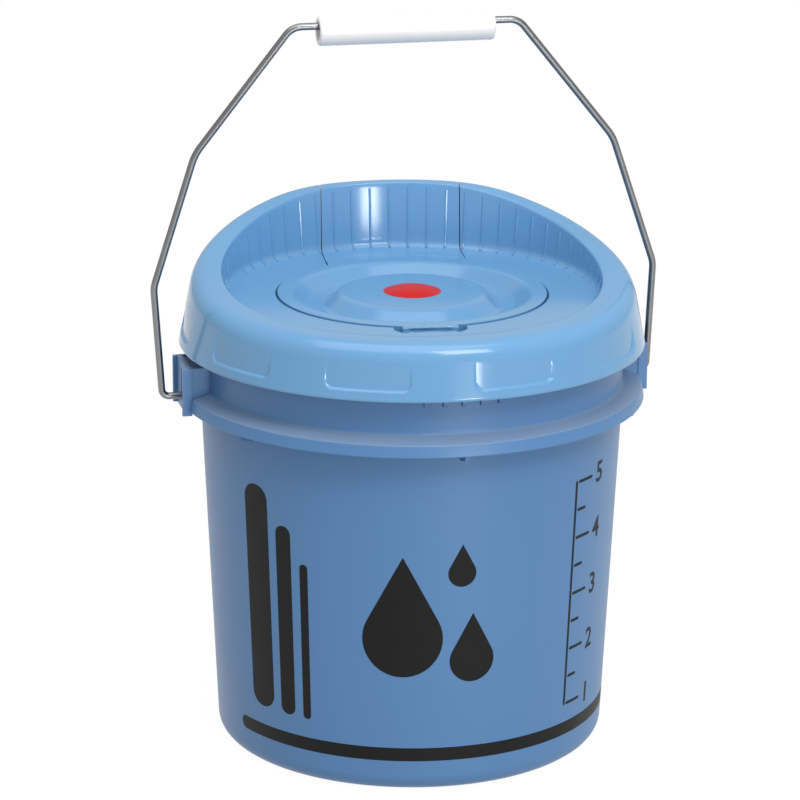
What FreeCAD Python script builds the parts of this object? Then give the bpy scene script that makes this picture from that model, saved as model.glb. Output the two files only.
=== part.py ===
import FreeCAD, Part
import math
import os
import Sketcher

# Wipe roll dispenser: a blue bucket with a carrying bail, a push-on lid with a scooped rim,
# and a flip cover over the nozzle that the wipes are pulled through.
# Millimetres, +Z up. The origin is the middle of the bucket's base. The bail turns about X,
# and the front of the bucket faces -Y.

SIZES = [
    # bucket
    ("base_radius", 98.9, "outer radius of the bucket where its wall line meets the floor"),
    ("base_round", 11.3, "rounding of the bottom edge"),
    ("bucket_height", 226.7, "height of the bucket's rim"),
    ("neck_radius", 107.2, "outer radius of the straight neck"),
    ("bucket_wall", 2.0, "wall of the bucket"),
    ("bucket_floor", 2.6, "floor of the bucket"),
    ("flange_drop", 47.6, "bucket rim down to the flange's lower edge"),
    ("flange_reach", 10.9, "flange's lower edge out from the neck"),
    ("flange_lip", 6.1, "height of the flange's outer lip"),
    ("flange_lean", 1.3, "lip's upper edge in from its lower edge"),
    ("flange_rise", 9.2, "flange's lower edge up to where its ledge meets the neck"),
    ("flange_wall", 2.0, "wall of the flange"),
    ("gusset_count", 6, "ribs under the flange"),
    ("gusset_thick", 2.4, "thickness of a rib"),
    ("gusset_drop", 5.0, "rib below the flange's lower edge"),
    ("tooth_count", 5, "teeth on the front of the neck"),
    ("tooth_step", 4.9, "angle between teeth"),
    ("tooth_width", 1.8, "width of a tooth"),
    ("tooth_reach", 1.6, "tooth out from the neck"),
    ("tooth_height", 5.0, "height of a tooth"),
    ("tooth_drop", 21.7, "bucket rim down to the top of the teeth"),
    # bail ears
    ("ear_stand", 2.4, "ear plate out from the flange's lower edge"),
    ("ear_width", 30.0, "width of an ear"),
    ("ear_low", 2.0, "ear below the flange's lower edge"),
    ("ear_high", 22.4, "ear above the flange's lower edge"),
    ("ear_wall", 2.6, "wall of an ear"),
    ("ear_round", 2.0, "rounding of an ear's lower corners"),
    ("pivot_rise", 4.9, "bail axis above the flange's lower edge"),
    ("pivot_clearance", 0.4, "play of the wire in its ear, each side"),
    # bail and grip
    ("wire_diameter", 3.6, "bail wire"),
    ("wire_end_gap", 2.5, "wire end to the neck"),
    ("leg_stand", 5.8, "wire's leg out from the ear plate"),
    ("hip_spread", 2.8, "widest bend out from the leg"),
    ("hip_rise", 57.1, "widest bend above the axis"),
    ("shoulder_inset", 19.5, "shoulder bend in from the leg"),
    ("shoulder_rise", 124.3, "shoulder bend above the axis"),
    ("crown_inset", 69.1, "crown bend in from the leg"),
    ("crown_rise", 186.5, "crown above the axis"),
    ("bail_shift", 2.0, "how far the bail has slid in its ears, towards -X"),
    ("bail_skew", 4.5, "sideways set of the bent crown, towards -X"),
    ("foot_bend", 3.8, "bend radius at the ear"),
    ("hip_bend", 16.0, "bend radius at the widest point"),
    ("shoulder_bend", 26.0, "bend radius at the shoulder"),
    ("crown_bend", 10.0, "bend radius beside the grip"),
    ("bail_lean", 3.0, "forward lean of the raised bail"),
    ("grip_length", 88.5, "carrying grip"),
    ("grip_diameter", 14.5, "outside of the grip"),
    ("grip_bore", 9.2, "bore of the grip"),
    ("grip_clearance", 0.3, "grip's bore above the wire that it hangs on"),
    # roll of wipes
    ("roll_room", 1.6, "roll to the rounded corner of the bucket"),
    ("roll_core", 27.0, "radius of the roll's open centre"),
    ("roll_height", 160.0, "height of the roll"),
    # lid
    ("lid_turn", -6.1, "turn of the lid on the bucket"),
    ("gasket_height", 2.5, "ring between the bucket's rim and the lid"),
    ("skirt_drop", 22.2, "lid seat down to the skirt's lower edge"),
    ("skirt_reach", 10.8, "skirt's lower edge out from the neck"),
    ("lid_draft", 11.2, "lean of the skirt"),
    ("lid_wall", 2.4, "wall of the skirt and rim"),
    ("lid_floor", 2.2, "floor of the lid"),
    ("floor_lift", 1.8, "top of the floor above the lid seat"),
    ("rim_front", 5.3, "rim above the lid seat at the front"),
    ("rim_side", 12.3, "rim above the lid seat at the sides"),
    ("rim_back", 36.8, "rim above the lid seat at the back"),
    ("rim_middle", 5.2, "middle of the rim's top in from the neck"),
    ("dish_inset", 12.2, "foot of the inner wall in from the neck"),
    ("dish_draft", 5.5, "lean of the inner wall"),
    ("dish_round", 8.0, "rounding between floor and inner wall"),
    ("rib_clearance", 0.7, "sealing rib to the neck, inside and out"),
    ("rib_wall", 2.0, "sealing rib and the web over the slot"),
    ("rib_drop", 5.4, "sealing rib below the lid seat"),
    ("panel_count", 10, "sunk panels round the skirt"),
    ("panel_width", 20.7, "angle of a panel"),
    ("panel_low", 5.0, "panel's lower edge above the skirt's"),
    ("panel_high", 18.0, "panel's upper edge above the skirt's"),
    ("panel_depth", 1.3, "depth of a panel at its lower edge"),
    # flip cover and what it closes
    ("disc_radius", 68.2, "cover disc"),
    ("disc_gap", 0.8, "gap round the disc"),
    ("disc_wall", 2.2, "wall of the disc"),
    ("disc_proud", 0.8, "disc's ring above the lid's floor"),
    ("disc_draft", 0.5, "disc's edge in at its underside"),
    ("ring_width", 8.2, "flat ring round the disc"),
    ("moat_depth", 6.8, "moat below the ring"),
    ("moat_slope", 8.0, "run of each side of the moat"),
    ("moat_width", 7.0, "flat bottom of the moat"),
    ("boss_drop", 0.2, "central boss below the ring"),
    ("tail_half", 36.5, "half the width of the cover's tail"),
    ("tail_lap", 2.0, "tail's floor on the ring"),
    ("seam_gap", 0.5, "gap beside the tail"),
    ("slot_gap", 0.8, "gap between the tail and the lid under it"),
    ("ledge_depth", 4.0, "ledge under the disc, below the floor"),
    ("ledge_width", 5.0, "ledge under the disc"),
    ("well_depth", 10.5, "well under the cover, below the floor"),
    ("tab_half", 14.0, "half the width of the finger tab"),
    ("tab_reach", 2.3, "tab out from the disc"),
    ("tab_round", 4.0, "rounding of the tab's corners"),
    ("recess_half", 17.5, "half the width of the finger recess"),
    ("recess_reach", 7.0, "finger recess out from the gap"),
    ("recess_round", 5.0, "rounding of the recess's corners"),
    ("knuckle_radius", 4.0, "hinge knuckles"),
    ("hinge_inset", 4.5, "hinge axis in from the skirt's lower edge"),
    ("knuckle_half", 23.5, "half the length of the cover's knuckle"),
    ("knuckle_gap", 0.5, "gap between and round the knuckles"),
    ("pin_diameter", 3.2, "hinge pin"),
    ("pin_clearance", 0.1, "play of the cover on the pin, each side"),
    ("pin_grip", 0.05, "lid's hole over the pin, each side"),
    ("seal_gap", 0.3, "foam seal to the ledge"),
    ("seal_inset", 0.8, "foam seal in from the ledge's inner edge"),
    ("seal_width", 2.8, "width of the foam seal"),
    ("dome_radius", 14.75, "red dome"),
    ("dome_height", 2.9, "red dome"),
    ("stem_radius", 4.8, "stem of the stopper"),
    ("stem_clearance", 0.1, "stem in the boss, each side"),
    ("barb_reach", 1.7, "stopper's barb out from the stem"),
    ("barb_height", 1.2, "stopper's barb under the boss"),
    ("tip_radius", 3.6, "tip of the stopper"),
    ("tip_depth", 2.5, "tip in the orifice"),
    ("nozzle_radius", 21.5, "barrel of the nozzle"),
    ("nozzle_flange", 5.5, "nozzle's flange out from its barrel"),
    ("nozzle_wall", 1.8, "wall of the nozzle"),
    ("nozzle_crown", 6.5, "nozzle's top above the well"),
    ("nozzle_drop", 8.5, "nozzle's barrel below the well"),
    ("nozzle_flat", 9.0, "radius of the nozzle's flat top"),
    ("nozzle_clearance", 0.2, "barrel in its hole, each side"),
    ("orifice_radius", 5.0, "orifice that the wipe passes"),
    ("slit_count", 6, "slits that make the petals"),
    ("slit_width", 1.0, "width of a slit"),
    ("slit_length", 8.0, "slit out from the orifice"),
    ("nut_height", 4.5, "ring that holds the nozzle"),
]

# How far a cutting shape reaches past what it cuts.
SPARE = "5"

# Places worked out from the sizes, as expressions.
FLANGE_LOW = "(sizes.bucket_height - sizes.flange_drop)"
FLANGE_RADIUS = "(sizes.neck_radius + sizes.flange_reach)"
NECK_BORE = "(sizes.neck_radius - sizes.bucket_wall)"
EAR_FACE = f"({FLANGE_RADIUS} + sizes.ear_stand)"
PIVOT_HEIGHT = f"({FLANGE_LOW} + sizes.pivot_rise)"
LEG_HALF = f"({EAR_FACE} + sizes.leg_stand)"
LID_SEAT = "(sizes.bucket_height + sizes.gasket_height)"
SKIRT_LOW = f"({LID_SEAT} - sizes.skirt_drop)"
LID_RADIUS = "(sizes.neck_radius + sizes.skirt_reach)"
LID_TOP = f"({LID_SEAT} + sizes.rim_back + {SPARE})"
FLOOR_TOP = f"({LID_SEAT} + sizes.floor_lift)"
FLOOR_UNDER = f"({FLOOR_TOP} - sizes.lid_floor)"
DISH_FOOT = "(sizes.neck_radius - sizes.dish_inset)"
RIB_BORE = f"({NECK_BORE} - sizes.rib_clearance - sizes.rib_wall)"
RIB_OUTER = f"({NECK_BORE} - sizes.rib_clearance)"
WEB_TOP = f"({LID_SEAT} + sizes.rib_wall)"
LEDGE_TOP = f"({FLOOR_TOP} - sizes.ledge_depth)"
LEDGE_UNDER = f"({LEDGE_TOP} - sizes.lid_floor)"
WELL_FLOOR = f"({FLOOR_TOP} - sizes.well_depth)"
WELL_UNDER = f"({WELL_FLOOR} - sizes.lid_floor)"
GAP_RADIUS = "(sizes.disc_radius + sizes.disc_gap)"
WELL_RADIUS = f"({GAP_RADIUS} - sizes.ledge_width)"
SLOT_HALF = "(sizes.tail_half + sizes.seam_gap)"
TROUGH_HALF = f"({SLOT_HALF} + sizes.lid_floor)"
HINGE_Y = f"({LID_RADIUS} - sizes.hinge_inset)"
HINGE_Z = f"({SKIRT_LOW} + sizes.knuckle_radius)"
KNUCKLE_ROOM = "(sizes.knuckle_radius + sizes.knuckle_gap)"
LID_KNUCKLE_START = "(sizes.knuckle_half + sizes.knuckle_gap)"
SLOT_LOW = f"({HINGE_Z} + {KNUCKLE_ROOM})"
SKIN_LOW = f"({SLOT_LOW} + sizes.slot_gap)"
RING_TOP = f"({FLOOR_TOP} + sizes.disc_proud)"
RING_UNDER = f"({RING_TOP} - sizes.disc_wall)"
RING_BORE = "(sizes.disc_radius - sizes.ring_width)"
MOAT_OUTER = f"({RING_BORE} - sizes.moat_slope)"
MOAT_INNER = f"({MOAT_OUTER} - sizes.moat_width)"
BOSS_RADIUS = f"({MOAT_INNER} - sizes.moat_slope)"
MOAT_FLOOR = f"({RING_TOP} - sizes.moat_depth)"
BOSS_TOP = f"({RING_TOP} - sizes.boss_drop)"
BOSS_UNDER = f"({BOSS_TOP} - sizes.disc_wall)"
NOZZLE_TOP = f"({WELL_FLOOR} + sizes.nozzle_crown)"
GRIP_HANG = "(sizes.grip_bore / 2 - sizes.wire_diameter / 2 - sizes.grip_clearance)"

doc = FreeCAD.newDocument("wipe_roll_dispenser")
sheet = doc.addObject("Spreadsheet::Sheet", "sizes")
for row, (alias, number, meaning) in enumerate(SIZES, start=1):
    sheet.set(f"A{row}", meaning)
    sheet.set(f"B{row}", str(number))
    sheet.setAlias(f"B{row}", alias)
doc.recompute()

AXIS_X = FreeCAD.Vector(1, 0, 0)
AXIS_Y = FreeCAD.Vector(0, 1, 0)
AXIS_Z = FreeCAD.Vector(0, 0, 1)
ORIGIN = FreeCAD.Vector(0, 0, 0)
FRONT = -90
PLANES = {
    "XY": FreeCAD.Rotation(),
    "XZ": FreeCAD.Rotation(AXIS_X, 90),
    "YZ": FreeCAD.Rotation(FreeCAD.Vector(1, 1, 1), 120),
}


def value(expression):
    """Number that an expression of the sheet's sizes gives."""
    return float(sheet.evalExpression(expression))


def skirt_radius(height, inset="0"):
    """Expression for the skirt's outer radius at a height, less an inset."""
    return f"({LID_RADIUS} - ({height} - {SKIRT_LOW}) * tan(sizes.lid_draft) - {inset})"


def dish_radius(height, wall="0"):
    """Expression for the inner wall's radius at a height, plus a wall."""
    return f"({DISH_FOOT} + ({height} - {FLOOR_TOP}) * tan(sizes.dish_draft) + {wall})"


def hold(sketch, index, place, across, up):
    """Tie a sketch point to a pair of expressions."""
    point = sketch.getPoint(index, place)
    for kind, number, expression in (("DistanceX", point.x, across), ("DistanceY", point.y, up)):
        row = sketch.addConstraint(Sketcher.Constraint(kind, -1, 1, index, place, number))
        sketch.setExpression(f"Constraints[{row}]", expression)


def outline(name, plane, corners, closed=True):
    """Sketch through corners given as (across, up) or (across, up, rounding) expressions."""
    sketch = doc.addObject("Sketcher::SketchObject", name)
    sketch.Placement = FreeCAD.Placement(ORIGIN, PLANES[plane])
    points = [FreeCAD.Vector(value(corner[0]), value(corner[1]), 0) for corner in corners]
    count = len(points)
    lines = count if closed else count - 1
    for index in range(lines):
        sketch.addGeometry(Part.LineSegment(points[index], points[(index + 1) % count]), False)
    for index in range(count if closed else count - 2):
        following = (index + 1) % count
        sketch.addConstraint(Sketcher.Constraint("Coincident", index, 2, following, 1))
    for index in range(lines):
        hold(sketch, index, 1, corners[index][0], corners[index][1])
    if not closed:
        hold(sketch, lines - 1, 2, corners[-1][0], corners[-1][1])
    for index, corner in enumerate(corners):
        if len(corner) == 3:
            sketch.fillet(index, 1, value(corner[2]), True, True)
            kinds = [shape.TypeId for shape in sketch.Geometry]
            arcs = [at for at, kind in enumerate(kinds) if kind == "Part::GeomArcOfCircle"]
            row = sketch.addConstraint(Sketcher.Constraint("Radius", arcs[-1], value(corner[2])))
            sketch.setExpression(f"Constraints[{row}]", corner[2])
    doc.recompute()
    return sketch


def revolved(name, corners, angle="360"):
    """Solid of revolution about Z from an outline of (radius, height) corners."""
    solid = doc.addObject("Part::Revolution", name)
    solid.Source = outline(name + "_outline", "XZ", corners)
    solid.Axis = AXIS_Z
    solid.Base = ORIGIN
    solid.Solid = True
    solid.setExpression("Angle", angle)
    doc.recompute()
    return solid


def extruded(name, plane, corners, forward, backward="0"):
    """Prism of an outline, both ways from its plane."""
    solid = doc.addObject("Part::Extrusion", name)
    solid.Base = outline(name + "_outline", plane, corners)
    solid.DirMode = "Normal"
    solid.Solid = True
    solid.setExpression("LengthFwd", forward)
    solid.setExpression("LengthRev", backward)
    doc.recompute()
    return solid


def block(name, low, high):
    """Box between two corners given as expressions."""
    box = doc.addObject("Part::Box", name)
    for size, axis, start, end in zip(("Length", "Width", "Height"), "xyz", low, high):
        box.setExpression(size, f"{end} - ({start})")
        box.setExpression(f"Placement.Base.{axis}", start)
    doc.recompute()
    return box


def ring_about_x(name, radius, x="0", y="0", z="0"):
    """Circle that faces along X."""
    ring = doc.addObject("Part::Circle", name)
    ring.Placement = FreeCAD.Placement(ORIGIN, FreeCAD.Rotation(AXIS_Y, 90))
    ring.setExpression("Radius", radius)
    ring.setExpression("Placement.Base.x", x)
    ring.setExpression("Placement.Base.y", y)
    ring.setExpression("Placement.Base.z", z)
    doc.recompute()
    return ring


def rod_along_x(name, radius, start, end, y="0", z="0"):
    """Cylinder along X between two places."""
    rod = doc.addObject("Part::Extrusion", name)
    rod.Base = ring_about_x(name + "_section", radius, "0", y, z)
    rod.DirMode = "Custom"
    rod.Dir = AXIS_X
    rod.Solid = True
    rod.setExpression("LengthFwd", end)
    rod.setExpression("LengthRev", f"-({start})")
    doc.recompute()
    return rod


def joined(name, *shapes):
    """Union of shapes."""
    union = doc.addObject("Part::MultiFuse", name)
    union.Shapes = list(shapes)
    doc.recompute()
    return union


def shared(name, *shapes):
    """What several shapes have in common."""
    common = doc.addObject("Part::MultiCommon", name)
    common.Shapes = list(shapes)
    doc.recompute()
    return common


def less(name, shape, *tools):
    """A shape with the tools cut out of it."""
    cut = doc.addObject("Part::Cut", name)
    cut.Base = shape
    cut.Tool = tools[0] if len(tools) == 1 else joined(name + "_tools", *tools)
    doc.recompute()
    return cut


def turned(shape, degrees):
    """Turn a helper shape about Z by a number of degrees."""
    shape.Placement = FreeCAD.Placement(ORIGIN, FreeCAD.Rotation(AXIS_Z, degrees))
    return shape


def turn_with_lid(shape):
    """Set a finished lid piece at the lid's turn on the bucket."""
    shape.Placement = FreeCAD.Placement(ORIGIN, FreeCAD.Rotation(AXIS_Z, value("sizes.lid_turn")))
    shape.setExpression("Placement.Rotation.Angle", "sizes.lid_turn")
    return shape


def make_ear(name, side):
    """Open box on the neck that one end of the bail wire turns in, on the -X or +X side."""
    low = f"({FLANGE_LOW} - sizes.ear_low)"
    high = f"({FLANGE_LOW} + sizes.ear_high)"
    half = "(sizes.ear_width / 2)"
    inner_half = f"({half} - sizes.ear_wall)"
    root = f"(sizes.neck_radius - {half})"
    plate = f"({EAR_FACE} - sizes.ear_wall)"
    solid_span = (EAR_FACE, f"-{root}") if side > 0 else (f"-{root}", EAR_FACE)
    hollow_span = (plate, f"-{root}") if side > 0 else (f"-{root}", plate)
    solid = extruded(name + "_solid", "YZ", [
        (f"-{half}", low, "sizes.ear_round"),
        (half, low, "sizes.ear_round"),
        (half, high),
        (f"-{half}", high),
    ], *solid_span)
    hollow = extruded(name + "_hollow", "YZ", [
        (f"-{inner_half}", f"{low} - {SPARE}"),
        (inner_half, f"{low} - {SPARE}"),
        (inner_half, f"{high} + {SPARE}"),
        (f"-{inner_half}", f"{high} + {SPARE}"),
    ], *hollow_span)
    return less(name, solid, hollow)


def make_bucket():
    """Pail in one moulding, kept as three solids that meet face to face: wall, floor and flange."""
    form = revolved("bucket_form", [
        ("0", "0"),
        ("sizes.base_radius", "0", "sizes.base_round"),
        ("sizes.neck_radius", FLANGE_LOW),
        ("sizes.neck_radius", "sizes.bucket_height"),
        ("0", "sizes.bucket_height"),
    ])
    inside = revolved("bucket_inside", [
        ("0", "sizes.bucket_floor"),
        ("sizes.base_radius - sizes.bucket_wall", "sizes.bucket_floor",
         "sizes.base_round - sizes.bucket_wall"),
        (NECK_BORE, FLANGE_LOW),
        (NECK_BORE, f"sizes.bucket_height + {SPARE}"),
        ("0", f"sizes.bucket_height + {SPARE}"),
    ])
    floor_radius = "(sizes.base_radius - sizes.base_round)"
    floor = revolved("bucket_floor", [
        ("0", "0"),
        (floor_radius, "0"),
        (floor_radius, "sizes.bucket_floor"),
        ("0", "sizes.bucket_floor"),
    ])
    wall = less("bucket", joined("wall_solid", form, *make_teeth()), inside, floor)
    return [wall, floor, make_flange(form)]


def make_teeth():
    """Small upright teeth on the front of the neck."""
    root = "(sizes.neck_radius - sizes.bucket_wall / 2)"
    top = "(sizes.bucket_height - sizes.tooth_drop)"
    end = "(sizes.neck_radius + sizes.tooth_reach)"
    count = int(value("sizes.tooth_count"))
    teeth = []
    for index in range(count):
        tooth = extruded(f"tooth_{index}", "XZ", [
            (root, f"{top} - sizes.tooth_height"),
            (end, f"{top} - sizes.tooth_height"),
            (end, top),
            (root, top),
        ], "sizes.tooth_width / 2", "sizes.tooth_width / 2")
        teeth.append(turned(tooth, FRONT + (index - (count - 1) / 2) * value("sizes.tooth_step")))
    return teeth


def make_flange(form):
    """Ribbed flange round the neck, with the two bail ears."""
    root = "(sizes.neck_radius - sizes.bucket_wall / 2)"
    lip_top = f"({FLANGE_LOW} + sizes.flange_lip)"
    lip_top_radius = f"({FLANGE_RADIUS} - sizes.flange_lean)"
    ledge_top = f"({FLANGE_LOW} + sizes.flange_rise)"
    ring = revolved("flange_ring", [
        (root, ledge_top),
        (lip_top_radius, lip_top),
        (FLANGE_RADIUS, FLANGE_LOW),
        (f"{FLANGE_RADIUS} - sizes.flange_wall", FLANGE_LOW),
        (f"{lip_top_radius} - sizes.flange_wall", f"{lip_top} - sizes.flange_wall"),
        (root, f"{ledge_top} - sizes.flange_wall"),
    ])
    pieces = [ring]
    rib_end = f"({lip_top_radius} - sizes.flange_wall / 2)"
    gussets = int(value("sizes.gusset_count"))
    for index in range(gussets):
        gusset = extruded(f"gusset_{index}", "XZ", [
            (root, f"{ledge_top} - sizes.flange_wall / 2"),
            (rib_end, f"{lip_top} - sizes.flange_wall / 2"),
            (rib_end, f"{FLANGE_LOW} - sizes.gusset_drop / 2"),
            ("sizes.neck_radius - sizes.gusset_drop", f"{FLANGE_LOW} - sizes.gusset_drop"),
        ], "sizes.gusset_thick / 2", "sizes.gusset_thick / 2")
        pieces.append(turned(gusset, FRONT + index * 360 / gussets))
    pieces += [make_ear("ear_left", -1), make_ear("ear_right", 1)]
    bore = "sizes.wire_diameter / 2 + sizes.pivot_clearance"
    start = "(sizes.neck_radius + sizes.wire_end_gap / 2)"
    end = f"({EAR_FACE} + {SPARE})"
    right_hole = rod_along_x("pivot_right", bore, start, end, z=PIVOT_HEIGHT)
    left_hole = rod_along_x("pivot_left", bore, f"-{end}", f"-{start}", z=PIVOT_HEIGHT)
    return less("bucket_flange", joined("flange_solid", *pieces), form, right_hole, left_hole)


def make_wipe_roll():
    """Centre-pull roll of wipes, standing on the bucket's floor."""
    outer = "(sizes.base_radius - sizes.base_round - sizes.roll_room)"
    top = "(sizes.bucket_floor + sizes.roll_height)"
    return revolved("wipe_roll", [
        ("sizes.roll_core", "sizes.bucket_floor"),
        (outer, "sizes.bucket_floor"),
        (outer, top),
        ("sizes.roll_core", top),
    ])


def stand_on_pivot(shape):
    """Set a bail piece, drawn upright about its axis, on the ears and at its lean."""
    shape.Placement = FreeCAD.Placement(ORIGIN, FreeCAD.Rotation(AXIS_X, value("sizes.bail_lean")))
    shape.setExpression("Placement.Rotation.Angle", "sizes.bail_lean")
    shape.setExpression("Placement.Base.z", PIVOT_HEIGHT)
    return shape


def make_bail_wire():
    """Bent wire handle: feet in the ears, two bends a side, a straight crown under the grip."""
    bends = [
        (LEG_HALF, "0", "sizes.foot_bend"),
        (f"({LEG_HALF} + sizes.hip_spread)", "sizes.hip_rise", "sizes.hip_bend"),
        (f"({LEG_HALF} - sizes.shoulder_inset)", "sizes.shoulder_rise", "sizes.shoulder_bend"),
        (f"({LEG_HALF} - sizes.crown_inset)", "sizes.crown_rise", "sizes.crown_bend"),
    ]
    end = "(sizes.neck_radius + sizes.wire_end_gap)"
    far_end = f"({end} + 2 * sizes.bail_shift)"
    left = []
    right = []
    for half, rise, bend in bends:
        skew = f"(sizes.bail_shift + sizes.bail_skew * {rise} / sizes.crown_rise)"
        left.append((f"-{half} - {skew}", rise, bend))
        right.append((f"{half} - {skew}", rise, bend))
    corners = [(f"-{far_end}", "0")] + left + right[::-1] + [(end, "0")]
    path = outline("bail_path", "XZ", corners, closed=False)
    section = ring_about_x("bail_section", "sizes.wire_diameter / 2", f"-{far_end}")
    wire = doc.addObject("Part::Sweep", "bail_wire")
    wire.Sections = [section]
    wire.Spine = (path, [f"Edge{index + 1}" for index in range(len(path.Shape.Edges))])
    wire.Solid = True
    return stand_on_pivot(wire)


def make_bail_grip():
    """Loose plastic tube that hangs on the crown of the bail."""
    half = "sizes.grip_length / 2"
    axis = f"sizes.crown_rise - ({GRIP_HANG})"
    middle = "-sizes.bail_shift - sizes.bail_skew"
    start = f"{middle} - {half}"
    end = f"{middle} + {half}"
    tube = rod_along_x("grip_tube", "sizes.grip_diameter / 2", start, end, z=axis)
    bore = rod_along_x("grip_bore_tool", "sizes.grip_bore / 2",
                       f"{start} - {SPARE}", f"{end} + {SPARE}", z=axis)
    return stand_on_pivot(less("bail_grip", tube, bore))


def under_rim(name, drop):
    """Everything below the scooped top of the rim, less a drop: an arc that climbs to a level back."""
    far = f"({LID_RADIUS} + {SPARE})"
    low = f"({SKIRT_LOW} - 2 * {SPARE})"
    front_height = f"({LID_SEAT} + sizes.rim_front)"
    front = (f"-{skirt_radius(front_height)}", f"{front_height} - {drop}")
    side = ("0", f"{LID_SEAT} + sizes.rim_side - {drop}")
    back_height = f"{LID_SEAT} + sizes.rim_back - {drop}"
    rim_middle = "(sizes.neck_radius - sizes.rim_middle)"
    back = (f"sqrt({rim_middle} ^ 2 - sizes.tail_half ^ 2)", back_height)
    corners = [back, (far, back_height), (far, low), (f"-{far}", low), (f"-{far}", front[1]), front]
    sketch = doc.addObject("Sketcher::SketchObject", name + "_outline")
    sketch.Placement = FreeCAD.Placement(ORIGIN, PLANES["YZ"])
    points = [FreeCAD.Vector(value(across), value(up), 0) for across, up in corners]
    crest = FreeCAD.Vector(value(side[0]), value(side[1]), 0)
    lines = len(points) - 1
    for index in range(lines):
        sketch.addGeometry(Part.LineSegment(points[index], points[index + 1]), False)
    sketch.addGeometry(Part.Arc(points[-1], crest, points[0]), False)
    sketch.addGeometry(Part.Point(crest), True)
    for index in range(lines - 1):
        sketch.addConstraint(Sketcher.Constraint("Coincident", index, 2, index + 1, 1))
    sketch.addConstraint(Sketcher.Constraint("Coincident", lines - 1, 2, lines, 1))
    sketch.addConstraint(Sketcher.Constraint("Coincident", lines, 2, 0, 1))
    sketch.addConstraint(Sketcher.Constraint("PointOnObject", lines + 1, 1, lines))
    for index in range(lines):
        hold(sketch, index, 1, *corners[index])
    hold(sketch, lines - 1, 2, *corners[-1])
    hold(sketch, lines + 1, 1, *side)
    doc.recompute()
    solid = doc.addObject("Part::Extrusion", name)
    solid.Base = sketch
    solid.DirMode = "Normal"
    solid.Solid = True
    solid.setExpression("LengthFwd", far)
    solid.setExpression("LengthRev", far)
    doc.recompute()
    return solid


def make_dish():
    """Hollow of the lid's top: level floor, rounded foot, leaning wall."""
    top = f"({LID_TOP} + {SPARE})"
    return revolved("dish", [
        ("0", FLOOR_TOP),
        (DISH_FOOT, FLOOR_TOP, "sizes.dish_round"),
        (dish_radius(top), top),
        ("0", top),
    ])


def make_lid_block():
    """Solid cone of the lid, cut to the scooped rim."""
    cone = revolved("lid_cone", [
        ("0", SKIRT_LOW),
        (LID_RADIUS, SKIRT_LOW),
        (skirt_radius(LID_TOP), LID_TOP),
        ("0", LID_TOP),
    ])
    return shared("lid_block", cone, under_rim("rim_top", "0"))


def make_rim_shell(lid_block, dish):
    """Skirt, rim, inner wall and floor as one thin shell, which the lid and the tail share."""
    low = f"({SKIRT_LOW} - {SPARE})"
    hollow = revolved("shell_hollow", [
        ("0", low),
        (skirt_radius(low, "sizes.lid_wall"), low),
        (skirt_radius(LID_TOP, "sizes.lid_wall"), LID_TOP),
        (dish_radius(LID_TOP, "sizes.lid_wall"), LID_TOP),
        (dish_radius(FLOOR_UNDER, "sizes.lid_wall"), FLOOR_UNDER),
        ("0", FLOOR_UNDER),
    ])
    room = shared("shell_room", hollow, under_rim("rim_underside", "sizes.lid_wall"))
    return less("rim_shell", lid_block, dish, room)


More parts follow.
